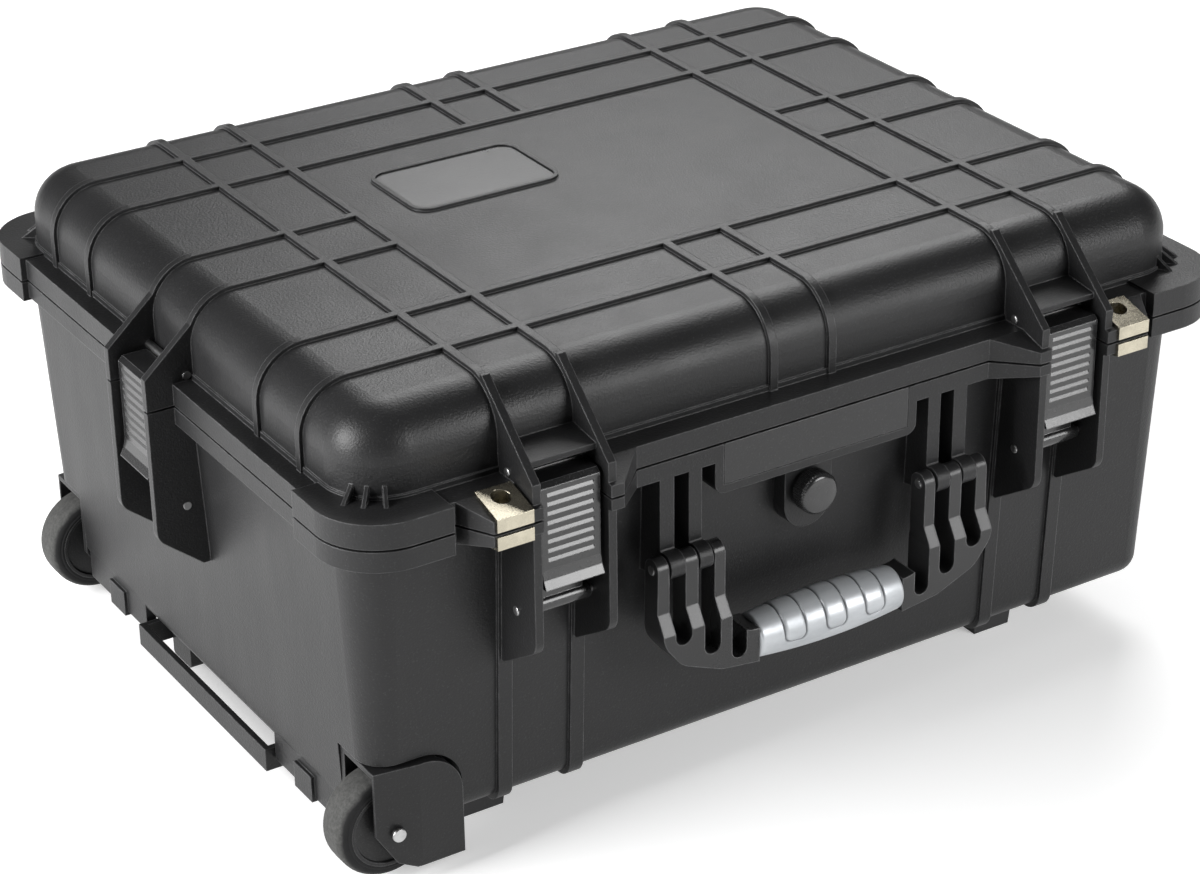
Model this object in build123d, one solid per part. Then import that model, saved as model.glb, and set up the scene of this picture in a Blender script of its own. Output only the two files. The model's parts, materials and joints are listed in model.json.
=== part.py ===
from build123d import *
from math import cos, radians, sin, sqrt, tan
import os

# Rolling camera case, millimetres, +Z up, origin at the centre of the floor footprint.
# Long side along X with the wheels at -X, handle and latches at -Y, hinge at +Y.

# Overall sizes
case_length = 560.0
full_depth = 462.6
fin_setback = 5.0
seam_height = 207.0
lid_rise = 55.5
base_bottom = 28.0
seam_gap = 1.2

# Shells
end_fin_reach = 24.5
front_fin_reach = 31.3
base_corner = 22.0
base_draft = 2.6
base_wall = 5.0
base_floor = 4.5
base_edge_round = 12.0
base_inner_round = 8.0
lid_inset_end = 2.2
lid_corner = 30.0
lid_wall = 4.0
lid_edge_round = 25.0
lid_bead = 1.0
lid_bead_height = 3.0

# Ribs on the lid and the base
rib_height = 2.2
rib_width = 4.4
outer_rib_y = 142.6
inner_rib_y = 98.0
outer_rib_inset = 106.0
latch_channel = 42.0
centre_rib_x = 17.8
base_rib_height = 2.0
base_rib_width = 8.0
base_rib_reach = 19.0

# Flange at the seam
flange_reach_end = 9.5
flange_reach_side = 15.3
flange_corner = 28.0
lid_flange_height = 12.5
base_flange_height = 10.0
rim_extra_end = 3.6
rim_extra_side = 6.7
rim_corner = 34.0
rim_extra_height = 1.5
rim_run_x = 42.5
rim_run_y = 35.0
gusset_width = 2.0
lid_gusset_height = 8.5
lid_gusset_reach = 11.0
base_gusset_height = 5.0
base_gusset_reach = 6.0
gusset_angles = (34.0, 49.0, 65.0)

# Fins that carry the latches
fin_width = 4.5
end_fin_y = 22.0
knee_rise = 18.0
fin_slope = 41.7
front_fin_run = 44.5
end_fin_run = 30.5
fin_corner_drop = 73.0
fin_foot_drop = 93.2
fin_corner_round = 10.0

# Ears and padlock guards, measured along the front from the outer fins
ear_reach = 18.7
ear_inner_foot_run = 66.0
ear_inner_top_run = 47.0
ear_outer_top_run = 25.0
ear_outer_foot_run = 35.0
ear_root = 5.0
ear_lid_drop = 5.5
ear_base_rise = 3.5
guard_run = 14.0
guard_hole_inset = 12.0
guard_width = 20.0
guard_back_inset = 19.5
guard_plate = 1.5
guard_lip = 5.5
guard_hole = 9.8
guard_eyelet = 2.0
guard_window = 15.0
guard_seat_gap = 0.6

# Latches, measured inward from the fin edge and up or down from the seam
latch_pin_inset = 17.8
latch_pin_drop = 57.5
lever_pin_inset = 10.5
lever_pin_rise = 6.5
catch_pin_inset = 23.0
catch_pin_rise = 15.5
latch_face_inset = 3.9
latch_width = 33.0
latch_top_rise = 14.8
latch_crown = 2.5
lip_drop = 41.0
lip_start_drop = 31.5
lip_middle_drop = 36.5
lip_middle_reach = 1.1
lip_reach = 3.4
lever_thickness = 3.5
lever_side = 3.5
lever_side_depth = 6.0
fin_pin_diameter = 4.4
lever_pin_diameter = 3.0
pin_clearance = 0.1
pin_proud = 0.5
link_eye_diameter = 9.2
link_top_eye_diameter = 6.8
link_thickness = 4.0
link_side_gap = 0.4
nose_gap = 0.4
nose_wrap = 146.0
groove_count = 8
groove_pitch = 5.0
groove_width = 2.2
groove_depth = 0.9
groove_border = 3.5
latch_recess_lip = 0.8
ledge_rise = 6.7
ledge_thickness = 3.0
ledge_reach = 10.7

# Carry handle, measured inward from the fin edge and down from the seam
handle_axis_inset = 12.3
handle_axis_drop = 56.0
bar_inner_x = 73.75
bar_inner_width = 7.7
bar_outer_x = 90.5
bar_outer_width = 8.4
bar_top_drop = 7.0
bar_foot_drop = 68.0
knuckle_diameter = 14.0
prong_x = (65.4, 82.1, 98.8)
prong_width = (6.4, 7.5, 6.5)
prong_diameter = 12.0
handle_pin_diameter = 5.0
handle_pin_overhang = 0.6
arm_front = 6.0
arm_back = 6.0
arm_step_top = 23.0
arm_step_bottom = 33.0
arm_step = 6.0
slot_outer_foot = 35.3
slot_inner_foot = 46.0
slot_grip_foot = 54.0
slot_grip_x = 57.3
slot_grip_width = 9.0
collar_rise = 9.0
arm_outer_x = 102.6
arm_corner_drop = 38.0
arm_knee_x = 92.0
arm_knee_drop = 52.0
arm_low_x = 68.0
arm_low_drop = 62.0
arm_end_x = 45.0
arm_end_drop = 65.0
arm_round = 16.0
grip_diameter = 24.0
grip_belly = 2.5
grip_belly_half = 20.0
grip_axis_inset = 9.8
grip_axis_drop = 54.4
grip_length = 90.0
grip_core = 12.0

# Name panel, pad and pressure valve
pad_width = 124.0
pad_foot_drop = 28.0
pad_corner = 6.0
panel_width = 113.0
panel_foot_drop = 23.0
panel_thickness = 2.0
boss_diameter = 29.0
boss_reach = 8.0
boss_drop = 52.2
valve_drop = 44.3
valve_knob_diameter = 23.0
valve_knob_reach = 12.0
valve_back_gap = 1.2
valve_dome = 3.0
valve_flute_count = 16
valve_flute_depth = 0.9
valve_stem_diameter = 8.0
valve_seal_diameter = 13.0
valve_seal_thickness = 0.7
valve_stem_reach = 6.0
valve_stem_grip = 4.0
valve_sleeve_diameter = 14.0
valve_sleeve_reach = 5.0

# Wheels and housings
wheel_diameter = 58.0
wheel_width = 22.0
wheel_inset = 43.0
wheel_axle_height = 33.0
wheel_face_inset = 11.0
tyre_depth = 7.0
tyre_shoulder = 3.0
hub_boss_diameter = 16.0
hub_side_gap = 0.4
axle_diameter = 5.0
axle_head_diameter = 7.0
axle_head_height = 1.2
wheel_running_gap = 0.05
well_gap = 2.0
well_inner_y = 40.3
well_wall = 3.0
housing_face_inset = 3.0
housing_plate = 5.0
housing_inner_inset = 39.8
housing_inner_plate = 3.4
housing_right_run = 37.0
housing_web = 2.8
housing_rise = 36.5
housing_top_web = 2.7
housing_drop = 23.0
housing_round = 22.0
housing_fold_run = 13.0
housing_left_run = 11.0
housing_fold_drop = 3.6

# Feet and the parts under the base
foot_inset = 113.0
foot_y = 145.0
foot_length = 28.0
foot_width = 20.0
foot_taper = 4.0
rail_inset = 29.0
rail_half = 77.0
rail_thickness = 3.4
rail_foot = 13.0
rail_block = 24.0
rail_seat = 7.0
skirt_thickness = 6.0
skirt_drop = 8.5
skirt_rise = 4.5
skirt_gap = 1.0
pad_block_half = 9.5
pad_block_y = 112.5
pad_block_proud = 2.0

# Trolley handle
sleeve_inset = 15.0
sleeve_y = rail_half - sleeve_inset
sleeve_drop = 10.0
sleeve_diameter = 17.0
tube_diameter = 13.0
tube_clearance = 0.1
tube_wall = 1.5
sleeve_inset = 48.0
sleeve_plug = 6.0
tube_far_inset = 65.0
cover_foot = 4.0
cover_wall = 2.2
cover_gap = 0.4
grip_bar_inset = 2.0
grip_bar_depth = 15.0
grip_bar_foot = 6.0
grip_bar_top = 25.0
grip_bar_half = 76.0
socket_depth = 20.0
socket_width = 22.0
button_half = 13.0
button_height = 9.0
button_round = 1.8
button_depth = 5.0
button_travel = 3.0
button_proud = 3.6
button_gap = 0.35

# Hinge at the back
hinge_barrel = 16.0
hinge_pin_diameter = 6.0
hinge_spacing = 153.0
hinge_knuckle = 12.0
hinge_lid_knuckle = 26.0
hinge_gap = 0.5
hinge_block = 6.0

# Plates, seal and linings
plate_left = -101.0
plate_right = -15.5
plate_front = 9.0
plate_back = 64.5
plate_corner = 8.0
plate_thickness = 1.2
plate_recess = 0.5
plate_frame = 2.6
plate_frame_height = 1.7
plate_gap = 0.3
seal_inset = 2.4
seal_width = 3.4
seal_height = 2.6
seal_gap = 0.3
groove_play = 0.35
pad_margin = 9.0
base_pad_height = 12.0
lid_pad_height = 20.0
lid_pad_draft = 25.0
pad_clearance = 0.3

# Derived positions
lid_top = seam_height + lid_rise
fin_edge_x = case_length / 2
fin_edge_y = full_depth / 2 - fin_setback
base_half_x = fin_edge_x - end_fin_reach
base_half_y = fin_edge_y - front_fin_reach
lid_half_x = base_half_x - lid_inset_end
lid_half_y = base_half_y
lid_foot = seam_height + seam_gap / 2
base_rim = seam_height - seam_gap / 2
flange_half_x = base_half_x + flange_reach_end
flange_half_y = base_half_y + flange_reach_side
rim_half_x = flange_half_x + rim_extra_end
rim_half_y = flange_half_y + rim_extra_side
rim_start_x = base_half_x - rim_run_x
rim_start_y = base_half_y - rim_run_y
rib_top = lid_top + rib_height
outer_rib_x = fin_edge_x - outer_rib_inset
inner_rib_x = outer_rib_x - latch_channel
latch_centre_x = (outer_rib_x + inner_rib_x) / 2
ear_front = flange_half_y + ear_reach
ear_inner_foot = outer_rib_x - ear_inner_foot_run
ear_inner_top = outer_rib_x - ear_inner_top_run
ear_outer_top = outer_rib_x + ear_outer_top_run
ear_outer_foot = outer_rib_x + ear_outer_foot_run
guard_centre_x = outer_rib_x + guard_run
guard_hole_y = ear_front - guard_hole_inset
guard_back_y = ear_front - guard_back_inset
knee_height = seam_height + knee_rise
fin_corner_height = seam_height - fin_corner_drop
fin_foot_height = seam_height - fin_foot_drop
latch_pin_height = seam_height - latch_pin_drop
lever_pin_height = seam_height + lever_pin_rise
catch_pin_height = seam_height + catch_pin_rise
latch_top = seam_height + latch_top_rise
ledge_height = latch_top + ledge_rise
lip_start_height = seam_height - lip_start_drop
lip_middle_height = seam_height - lip_middle_drop
lip_height = seam_height - lip_drop
handle_axis_y = fin_edge_y - handle_axis_inset
handle_axis_z = seam_height - handle_axis_drop
grip_axis_y = fin_edge_y - grip_axis_inset
grip_axis_z = handle_axis_z - grip_axis_drop
arm_end_z = handle_axis_z - arm_end_drop
bar_top = seam_height - bar_top_drop
bar_foot = seam_height - bar_foot_drop
boss_face_y = base_half_y + boss_reach
boss_height = seam_height - boss_drop
pad_foot = seam_height - pad_foot_drop
panel_foot = seam_height - panel_foot_drop
valve_height = seam_height - valve_drop
valve_face_y = boss_face_y + valve_knob_reach
wheel_axle_x = fin_edge_x - wheel_inset
wheel_outer_y = base_half_y - wheel_face_inset
housing_face_y = base_half_y - housing_face_inset
housing_inner_y = base_half_y - housing_inner_inset
housing_right_x = wheel_axle_x - housing_right_run
housing_left_x = wheel_axle_x + housing_left_run
housing_fold_x = wheel_axle_x - housing_fold_run
housing_top = wheel_axle_height + housing_rise
housing_foot = wheel_axle_height - housing_drop
well_x = housing_right_x - well_gap
well_y = base_half_y - well_inner_y
well_top = housing_top + well_gap
foot_x = fin_edge_x - foot_inset
rail_x = fin_edge_x - rail_inset
sleeve_z = base_bottom - sleeve_drop
sleeve_half = fin_edge_x - sleeve_inset
sleeve_mouth = sleeve_half - sleeve_plug
tube_far_x = fin_edge_x - tube_far_inset
grip_bar_x = fin_edge_x - grip_bar_inset
hinge_axis_y = full_depth / 2 - hinge_barrel / 2
hinge_centres = (-hinge_spacing, 0.0, hinge_spacing)
base_slope = tan(radians(base_draft))


# Shared helpers
def block(x0, x1, y0, y1, z0, z1):
    centre = Pos((x0 + x1) / 2, (y0 + y1) / 2, (z0 + z1) / 2)
    return centre * Box(abs(x1 - x0), abs(y1 - y0), abs(z1 - z0))


def mirror_x(shape):
    return mirror(shape, about=Plane.YZ)


def mirror_y(shape):
    return mirror(shape, about=Plane.XZ)


def both_x(shape):
    return shape + mirror_x(shape)


def both_y(shape):
    return shape + mirror_y(shape)


def rod_x(radius, x0, x1, y, z):
    return Pos((x0 + x1) / 2, y, z) * Rot(0, 90, 0) * Cylinder(radius, abs(x1 - x0))


def rod_y(radius, y0, y1, x, z):
    return Pos(x, (y0 + y1) / 2, z) * Rot(90, 0, 0) * Cylinder(radius, abs(y1 - y0))


def rod_z(radius, z0, z1, x, y):
    return Pos(x, y, (z0 + z1) / 2) * Cylinder(radius, abs(z1 - z0))


# Planes whose local x points outward from the case and local y points up
def front_plane(x):
    return Plane(origin=(x, 0, 0), x_dir=(0, -1, 0), z_dir=(-1, 0, 0))


def back_plane(x):
    return Plane(origin=(x, 0, 0), x_dir=(0, 1, 0), z_dir=(1, 0, 0))


def right_plane(y):
    return Plane(origin=(0, y, 0), x_dir=(1, 0, 0), z_dir=(0, -1, 0))


# Plane that looks at the front, with x to the right and y up
def facing_plane(y):
    return Plane(origin=(0, y, 0), x_dir=(1, 0, 0), z_dir=(0, -1, 0))


def slab(plane, shape, width):
    return extrude(plane * shape, amount=width / 2, both=True)


def outline(*points):
    return Polygon(*points, align=None)


def disc(x, y, radius):
    return Pos(x, y) * Circle(radius)


# Distance of the drafted base wall from its rim position at a height
def wall_back(z):
    return (seam_height - z) * base_slope


# Drafted tray body, grown outward by a given amount
def tray(grow, bottom, corner, edge_round):
    start = Plane(origin=(0, 0, seam_height), x_dir=(1, 0, 0), z_dir=(0, 0, -1))
    plan = RectangleRounded(2 * (base_half_x + grow), 2 * (base_half_y + grow), corner)
    body = extrude(start * plan, amount=seam_height - bottom, taper=base_draft)
    return fillet(body.faces().sort_by(Axis.Z)[0].edges(), edge_round)


# Lid body with its rounded top, grown outward by a given amount
def dome(grow, top, bottom, edge_round):
    plan = RectangleRounded(
        2 * (lid_half_x + grow), 2 * (lid_half_y + grow), lid_corner + grow
    )
    body = extrude(Plane.XY.offset(bottom) * plan, amount=top - bottom)
    return fillet(body.faces().sort_by(Axis.Z)[-1].edges(), edge_round)


# Flange plan shared by lid and base
def flange_plan():
    return RectangleRounded(2 * flange_half_x, 2 * flange_half_y, flange_corner)


def rim_plan():
    rim = RectangleRounded(2 * rim_half_x, 2 * rim_half_y, rim_corner)
    width = rim_half_x - rim_start_x
    depth = rim_half_y - rim_start_y
    corners = Sketch()
    for side_x in (-1, 1):
        for side_y in (-1, 1):
            spot = Pos(
                side_x * (rim_start_x + width / 2), side_y * (rim_start_y + depth / 2)
            )
            corners += spot * Rectangle(width, depth)
    return rim & corners


def flange(bottom, top, rim_bottom, rim_top):
    plate = extrude(Plane.XY.offset(bottom) * flange_plan(), amount=top - bottom)
    rim = extrude(Plane.XY.offset(rim_bottom) * rim_plan(), amount=rim_top - rim_bottom)
    return plate + rim


# Ear beside the front fins, cut by a sloping profile
def ear(profile):
    plan = outline(
        (ear_inner_foot, -flange_half_y + ear_root),
        (ear_inner_foot, -flange_half_y),
        (ear_inner_top, -ear_front),
        (ear_outer_top, -ear_front),
        (ear_outer_foot, -flange_half_y),
        (ear_outer_foot, -flange_half_y + ear_root),
    )
    column = slab(Plane.XY.offset(seam_height), plan, seam_height)
    middle = (ear_inner_foot + ear_outer_foot) / 2
    return column & slab(front_plane(middle), profile, ear_outer_foot - ear_inner_foot)


def lid_ear():
    top = seam_height + lid_flange_height
    return ear(
        outline(
            (flange_half_y - ear_root, lid_foot),
            (ear_front, lid_foot),
            (ear_front, top - ear_lid_drop),
            (flange_half_y, top),
            (flange_half_y - ear_root, top),
        )
    )


def base_ear():
    bottom = seam_height - base_flange_height
    return ear(
        outline(
            (flange_half_y - ear_root, base_rim),
            (ear_front, base_rim),
            (ear_front, bottom + ear_base_rise),
            (flange_half_y, bottom),
            (flange_half_y - ear_root, bottom),
        )
    )


# Gaps in the flange where the latches lie
def latch_gaps():
    front = block(
        inner_rib_x + fin_width / 2,
        outer_rib_x - fin_width / 2,
        -case_length,
        -base_half_y - latch_recess_lip,
        base_bottom,
        lid_top,
    )
    end_x = base_half_x + latch_recess_lip
    half = end_fin_y - fin_width / 2
    end = block(end_x, case_length, -half, half, base_bottom, lid_top)
    return both_x(front) + both_x(end)


# Fin outlines in outward distance and height
def lid_fin_outline(edge, run):
    start_z = knee_height + run * tan(radians(fin_slope))
    root = edge - run - rib_height
    return outline(
        (root, lid_foot),
        (edge, lid_foot),
        (edge, knee_height),
        (edge - run, start_z),
        (root, start_z),
    )


def base_fin_outline(edge, reach):
    root = edge - reach - base_wall
    shape = outline(
        (root, base_rim),
        (root, fin_foot_height),
        (edge - reach, fin_foot_height),
        (edge, fin_corner_height),
        (edge, base_rim),
    )
    corner = shape.vertices().sort_by(Axis.X)[-2:].sort_by(Axis.Y)[0]
    return fillet(corner, fin_corner_round)


def front_fins(shape):
    fins = Part()
    for x in (outer_rib_x, inner_rib_x):
        fins += slab(front_plane(x), shape, fin_width)
    return both_x(fins)


def end_fins(shape):
    fin = slab(right_plane(end_fin_y), shape, fin_width)
    return both_x(both_y(fin))


# Bores for pins that cross the fins, at an inset from the fin edge
def fin_bores(inset, z, radius):
    front = rod_x(
        radius,
        inner_rib_x - fin_width,
        outer_rib_x + fin_width,
        -(fin_edge_y - inset),
        z,
    )
    end = rod_y(
        radius, -end_fin_y - fin_width, end_fin_y + fin_width, fin_edge_x - inset, z
    )
    return both_x(front) + both_x(end)


# Triangular gussets around one corner, then mirrored to all four
def gussets(foot, tip, corner_radius, half_x, half_y, reach):
    ring = Part()
    for angle in gusset_angles:
        shape = outline(
            (corner_radius - base_wall, foot),
            (corner_radius + reach, foot),
            (corner_radius, tip),
            (corner_radius - base_wall, tip),
        )
        plane = Plane(
            origin=(half_x - corner_radius, half_y - corner_radius, 0),
            x_dir=(cos(radians(angle)), sin(radians(angle)), 0),
            z_dir=(sin(radians(angle)), -cos(radians(angle)), 0),
        )
        ring += slab(plane, shape, gusset_width)
    return both_x(both_y(ring))


# Hinge knuckle profile: barrel joined to a block in the flange
def knuckle_outline(block_bottom, block_top):
    root = flange_half_y - hinge_block
    barrel = disc(hinge_axis_y, seam_height, hinge_barrel / 2)
    side = 1 if block_top > seam_height else -1
    tangent = seam_height + side * (hinge_barrel / 2 - hinge_gap)
    far = block_top if side > 0 else block_bottom
    arm = outline(
        (root, far),
        (hinge_axis_y, tangent),
        (hinge_axis_y, seam_height),
        (root, seam_height),
    )
    return barrel + arm


def hinge_bores(radius):
    bores = Part()
    half = hinge_lid_knuckle / 2 + hinge_knuckle + 2 * hinge_gap
    for x in hinge_centres:
        bores += rod_x(radius, x - half, x + half, hinge_axis_y, seam_height)
    return bores


def base_knuckles():
    shape = knuckle_outline(seam_height - base_flange_height, base_rim)
    offset = hinge_lid_knuckle / 2 + hinge_gap + hinge_knuckle / 2
    knuckles = Part()
    for x in hinge_centres:
        for side in (-1, 1):
            knuckles += slab(back_plane(x + side * offset), shape, hinge_knuckle)
    return knuckles


def lid_knuckles():
    shape = knuckle_outline(lid_foot, seam_height + lid_flange_height)
    knuckles = Part()
    for x in hinge_centres:
        knuckles += slab(back_plane(x), shape, hinge_lid_knuckle)
    return knuckles


# Seal track that follows the rim
def seal_ring(inset, width, height, bottom):
    half_x = base_half_x - inset
    half_y = base_half_y - inset
    corner = base_corner - inset
    outer = RectangleRounded(2 * half_x + width, 2 * half_y + width, corner + width / 2)
    inner = RectangleRounded(2 * half_x - width, 2 * half_y - width, corner - width / 2)
    return extrude(Plane.XY.offset(bottom) * (outer - inner), amount=height)


# Lid ribs cut from a grown dome by straight slabs
def lid_ribs():
    skin = dome(rib_height, rib_top, lid_foot, lid_edge_round + rib_height)
    half = rib_width / 2
    slabs = Part()
    for y in (outer_rib_y, inner_rib_y):
        slabs += block(-case_length, case_length, y - half, y + half, 0, rib_top)
    slabs += block(inner_rib_x, case_length, end_fin_y - half, end_fin_y + half, 0, rib_top)
    slabs = both_y(slabs)
    slabs += mirror_x(slabs)
    for x in (outer_rib_x, inner_rib_x):
        slabs += both_x(block(x - half, x + half, -full_depth, full_depth, 0, rib_top))
    centre = block(
        centre_rib_x - half,
        centre_rib_x + half,
        inner_rib_y,
        full_depth,
        seam_height,
        rib_top,
    )
    slabs += both_x(both_y(centre))
    return skin & slabs


def plate_area(margin, bottom, height):
    width = plate_right - plate_left + 2 * margin
    depth = plate_back - plate_front + 2 * margin
    centre = Pos((plate_left + plate_right) / 2, (plate_front + plate_back) / 2, bottom)
    return centre * extrude(
        RectangleRounded(width, depth, plate_corner + margin), amount=height
    )


def plate_bead():
    height = plate_frame_height + lid_bead
    outer = plate_area(plate_frame, lid_top - lid_bead, height)
    return outer - plate_area(plate_gap, lid_top - lid_bead, height)


def lid_ledges():
    shape = outline(
        (lid_half_y - lid_wall / 2, ledge_height),
        (fin_edge_y - ledge_reach, ledge_height),
        (fin_edge_y - ledge_reach, ledge_height + ledge_thickness),
        (lid_half_y - lid_wall / 2, ledge_height + 2 * ledge_thickness),
    )
    ledge = slab(front_plane(latch_centre_x), shape, outer_rib_x - inner_rib_x)
    return both_x(ledge)


def lid_outer():
    bead_plan = RectangleRounded(
        2 * (lid_half_x + lid_bead), 2 * (lid_half_y + lid_bead), lid_corner + lid_bead
    )
    flange_top = seam_height + lid_flange_height
    bead = extrude(
        Plane.XY.offset(lid_foot) * bead_plan,
        amount=flange_top + lid_bead_height - lid_foot,
    )
    shape = dome(0, lid_top, lid_foot, lid_edge_round) + bead
    shape += flange(lid_foot, flange_top, lid_foot, flange_top + rim_extra_height)
    shape += both_x(lid_ear())
    shape += gussets(
        flange_top,
        flange_top + lid_gusset_height,
        lid_corner,
        lid_half_x,
        lid_half_y,
        lid_gusset_reach,
    )
    return shape


def lid_cavity():
    inner_top = lid_top - lid_wall
    return dome(-lid_wall, inner_top, lid_foot, lid_edge_round - lid_wall)


def guard_windows():
    half = guard_window / 2
    window = block(
        guard_centre_x - half,
        guard_centre_x + half,
        -guard_hole_y - half,
        -guard_hole_y + half,
        base_bottom,
        lid_top,
    )
    return both_x(window)


def lid_shell():
    shape = lid_outer() - latch_gaps()
    shape += lid_ribs()
    shape += front_fins(lid_fin_outline(fin_edge_y, front_fin_run))
    shape += end_fins(lid_fin_outline(fin_edge_x, end_fin_run))
    shape += lid_ledges()
    shape += lid_knuckles()
    shape += plate_bead()
    shape -= lid_cavity()
    shape -= plate_area(plate_gap, lid_top - plate_recess, plate_frame_height)
    shape -= seal_ring(seal_inset, seal_width + 2 * groove_play, seal_height, lid_foot)
    shape -= guard_windows()
    shape -= fin_bores(catch_pin_inset, catch_pin_height, fin_pin_diameter / 2)
    shape -= hinge_bores(hinge_pin_diameter / 2 + pin_clearance / 2)
    return shape


# Ribs that run down the front and back walls below the fins
def base_ribs():
    skin = tray(base_rib_height, base_bottom - base_rib_height, base_corner, base_edge_round)
    half = base_rib_width / 2
    slabs = Part()
    for x in (outer_rib_x, inner_rib_x):
        slabs += block(x - half, x + half, -full_depth, full_depth, 0, seam_height)
    middle_y = base_half_y - base_rib_reach
    slabs -= block(-case_length, case_length, -middle_y, middle_y, 0, seam_height)
    return skin & both_x(slabs)


def wheel_well(grow):
    right = -well_x + grow
    top = well_top + grow
    face = outline((-case_length, 0), (right, 0), (right, top), (-case_length, top))
    corner = face.vertices().sort_by(Axis.X)[-2:].sort_by(Axis.Y)[-1]
    face = fillet(corner, housing_round + well_gap + grow)
    depth = full_depth - well_y + grow
    well = slab(facing_plane(-well_y + grow - depth / 2), face, depth)
    return both_y(well)


def base_cavity():
    start = Plane(origin=(0, 0, seam_height), x_dir=(1, 0, 0), z_dir=(0, 0, -1))
    plan = RectangleRounded(
        2 * (base_half_x - base_wall),
        2 * (base_half_y - base_wall),
        base_corner - base_wall,
    )
    depth = seam_height - base_bottom - base_floor
    room = extrude(start * plan, amount=depth, taper=base_draft)
    room = fillet(room.faces().sort_by(Axis.Z)[0].edges(), base_inner_round)
    return room - wheel_well(well_wall)


# Bracket bars that carry the handle, with a knuckle at the foot of each
def handle_bars():
    shape = outline(
        (base_half_y - base_wall, bar_foot),
        (handle_axis_y, handle_axis_z - knuckle_diameter / 2),
        (handle_axis_y, handle_axis_z),
        (flange_half_y, handle_axis_z + knuckle_diameter / 2),
        (flange_half_y, bar_top),
        (base_half_y - base_wall, bar_top),
    )
    shape += disc(handle_axis_y, handle_axis_z, knuckle_diameter / 2)
    bars = slab(front_plane(bar_inner_x), shape, bar_inner_width)
    bars += slab(front_plane(bar_outer_x), shape, bar_outer_width)
    return both_x(bars)


def name_pad():
    height = base_rim - pad_foot
    area = Pos(0, pad_foot + height / 2) * Rectangle(pad_width, height)
    corners = area.vertices().group_by(Axis.Y)[0]
    face = fillet(corners, pad_corner)
    depth = flange_half_y - base_half_y + base_wall
    pad = slab(facing_plane(depth / 2 - flange_half_y), face, depth)
    recess = block(
        -panel_width / 2 - plate_gap,
        panel_width / 2 + plate_gap,
        -flange_half_y,
        -flange_half_y + panel_thickness,
        panel_foot - plate_gap,
        base_rim,
    )
    return pad, recess


# Skirts flush with the wheel end wall, between the rail and the wheel arches
def end_skirts():
    wall_x = base_half_x - wall_back(base_bottom)
    foot = base_bottom - skirt_drop
    top = base_bottom + skirt_rise + base_edge_round
    skirt = block(
        -wall_x,
        -wall_x + skirt_thickness,
        rail_half + skirt_gap,
        well_y - well_wall,
        foot,
        top,
    )
    skirt += block(
        -wall_x + skirt_thickness,
        -wall_x + base_edge_round,
        rail_half + skirt_gap,
        well_y - well_wall,
        base_bottom + skirt_rise,
        top,
    )
    skirt += block(
        -wall_x - pad_block_proud,
        -wall_x + skirt_thickness,
        pad_block_y - pad_block_half,
        pad_block_y + pad_block_half,
        foot - pad_block_proud,
        base_bottom + skirt_rise,
    )
    return both_y(skirt)


def base_outer():
    shape = tray(0, base_bottom, base_corner, base_edge_round)
    shape += flange(
        seam_height - base_flange_height,
        seam_height,
        seam_height - base_flange_height - rim_extra_height,
        seam_height,
    )
    shape += both_x(base_ear())
    shape += gussets(
        seam_height - base_flange_height,
        seam_height - base_flange_height - base_gusset_height,
        base_corner,
        base_half_x,
        base_half_y,
        base_gusset_reach,
    )
    shape += end_skirts()
    return shape - latch_gaps()


def base_shell():
    pad, panel_recess = name_pad()
    shape = base_outer()
    shape += base_ribs()
    shape += front_fins(base_fin_outline(fin_edge_y, front_fin_reach))
    shape += end_fins(base_fin_outline(fin_edge_x, end_fin_reach))
    shape += handle_bars()
    shape += pad
    shape -= block(
        -case_length, case_length, -full_depth, full_depth, base_rim, lid_top
    )
    shape += base_knuckles()
    shape -= panel_recess
    shape -= base_cavity()
    shape -= wheel_well(0)
    shape -= valve_sleeve(valve_sleeve_diameter / 2)
    shape -= guard_windows()
    shape -= fin_bores(latch_pin_inset, latch_pin_height, fin_pin_diameter / 2)
    shape -= both_x(
        rod_x(handle_pin_diameter / 2, prong_x[0], prong_x[2], -handle_axis_y, handle_axis_z)
    )
    shape -= hinge_bores(hinge_pin_diameter / 2)
    return shape


# Pins through the fins, with ends just proud of the outer faces
def fin_pins(inset, z):
    radius = fin_pin_diameter / 2
    reach = fin_width / 2 + pin_proud
    front = rod_x(radius, inner_rib_x - reach, outer_rib_x + reach, -(fin_edge_y - inset), z)
    half = end_fin_y + reach
    end = rod_y(radius, -half, half, fin_edge_x - inset, z)
    return Compound([front, mirror_x(front), end, mirror_x(end)])


# Latch pieces drawn around the fin edge at outward distance `edge`
def link_outline(edge):
    foot = (edge - latch_pin_inset, latch_pin_height)
    head = (edge - lever_pin_inset, lever_pin_height)
    run = head[0] - foot[0]
    rise = head[1] - foot[1]
    length = sqrt(run * run + rise * rise)
    side_x = link_thickness / 2 * rise / length
    side_y = -link_thickness / 2 * run / length
    strap = outline(
        (foot[0] - side_x, foot[1] - side_y),
        (foot[0] + side_x, foot[1] + side_y),
        (head[0] + side_x, head[1] + side_y),
        (head[0] - side_x, head[1] - side_y),
    )
    shape = strap + disc(*foot, link_eye_diameter / 2)
    return shape + disc(*head, link_top_eye_diameter / 2)


def latch_link(plane, edge):
    width = latch_width - 2 * lever_side - 2 * link_side_gap
    link = slab(plane, link_outline(edge), width)
    eye = disc(edge - latch_pin_inset, latch_pin_height, link_eye_diameter / 2)
    link += slab(plane, eye, latch_width)
    foot_bore = disc(
        edge - latch_pin_inset, latch_pin_height, (fin_pin_diameter + pin_clearance) / 2
    )
    head_bore = disc(
        edge - lever_pin_inset,
        lever_pin_height,
        (lever_pin_diameter + pin_clearance) / 2,
    )
    link -= slab(plane, foot_bore, 2 * latch_width)
    link -= slab(plane, head_bore, 2 * latch_width)
    return link


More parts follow.
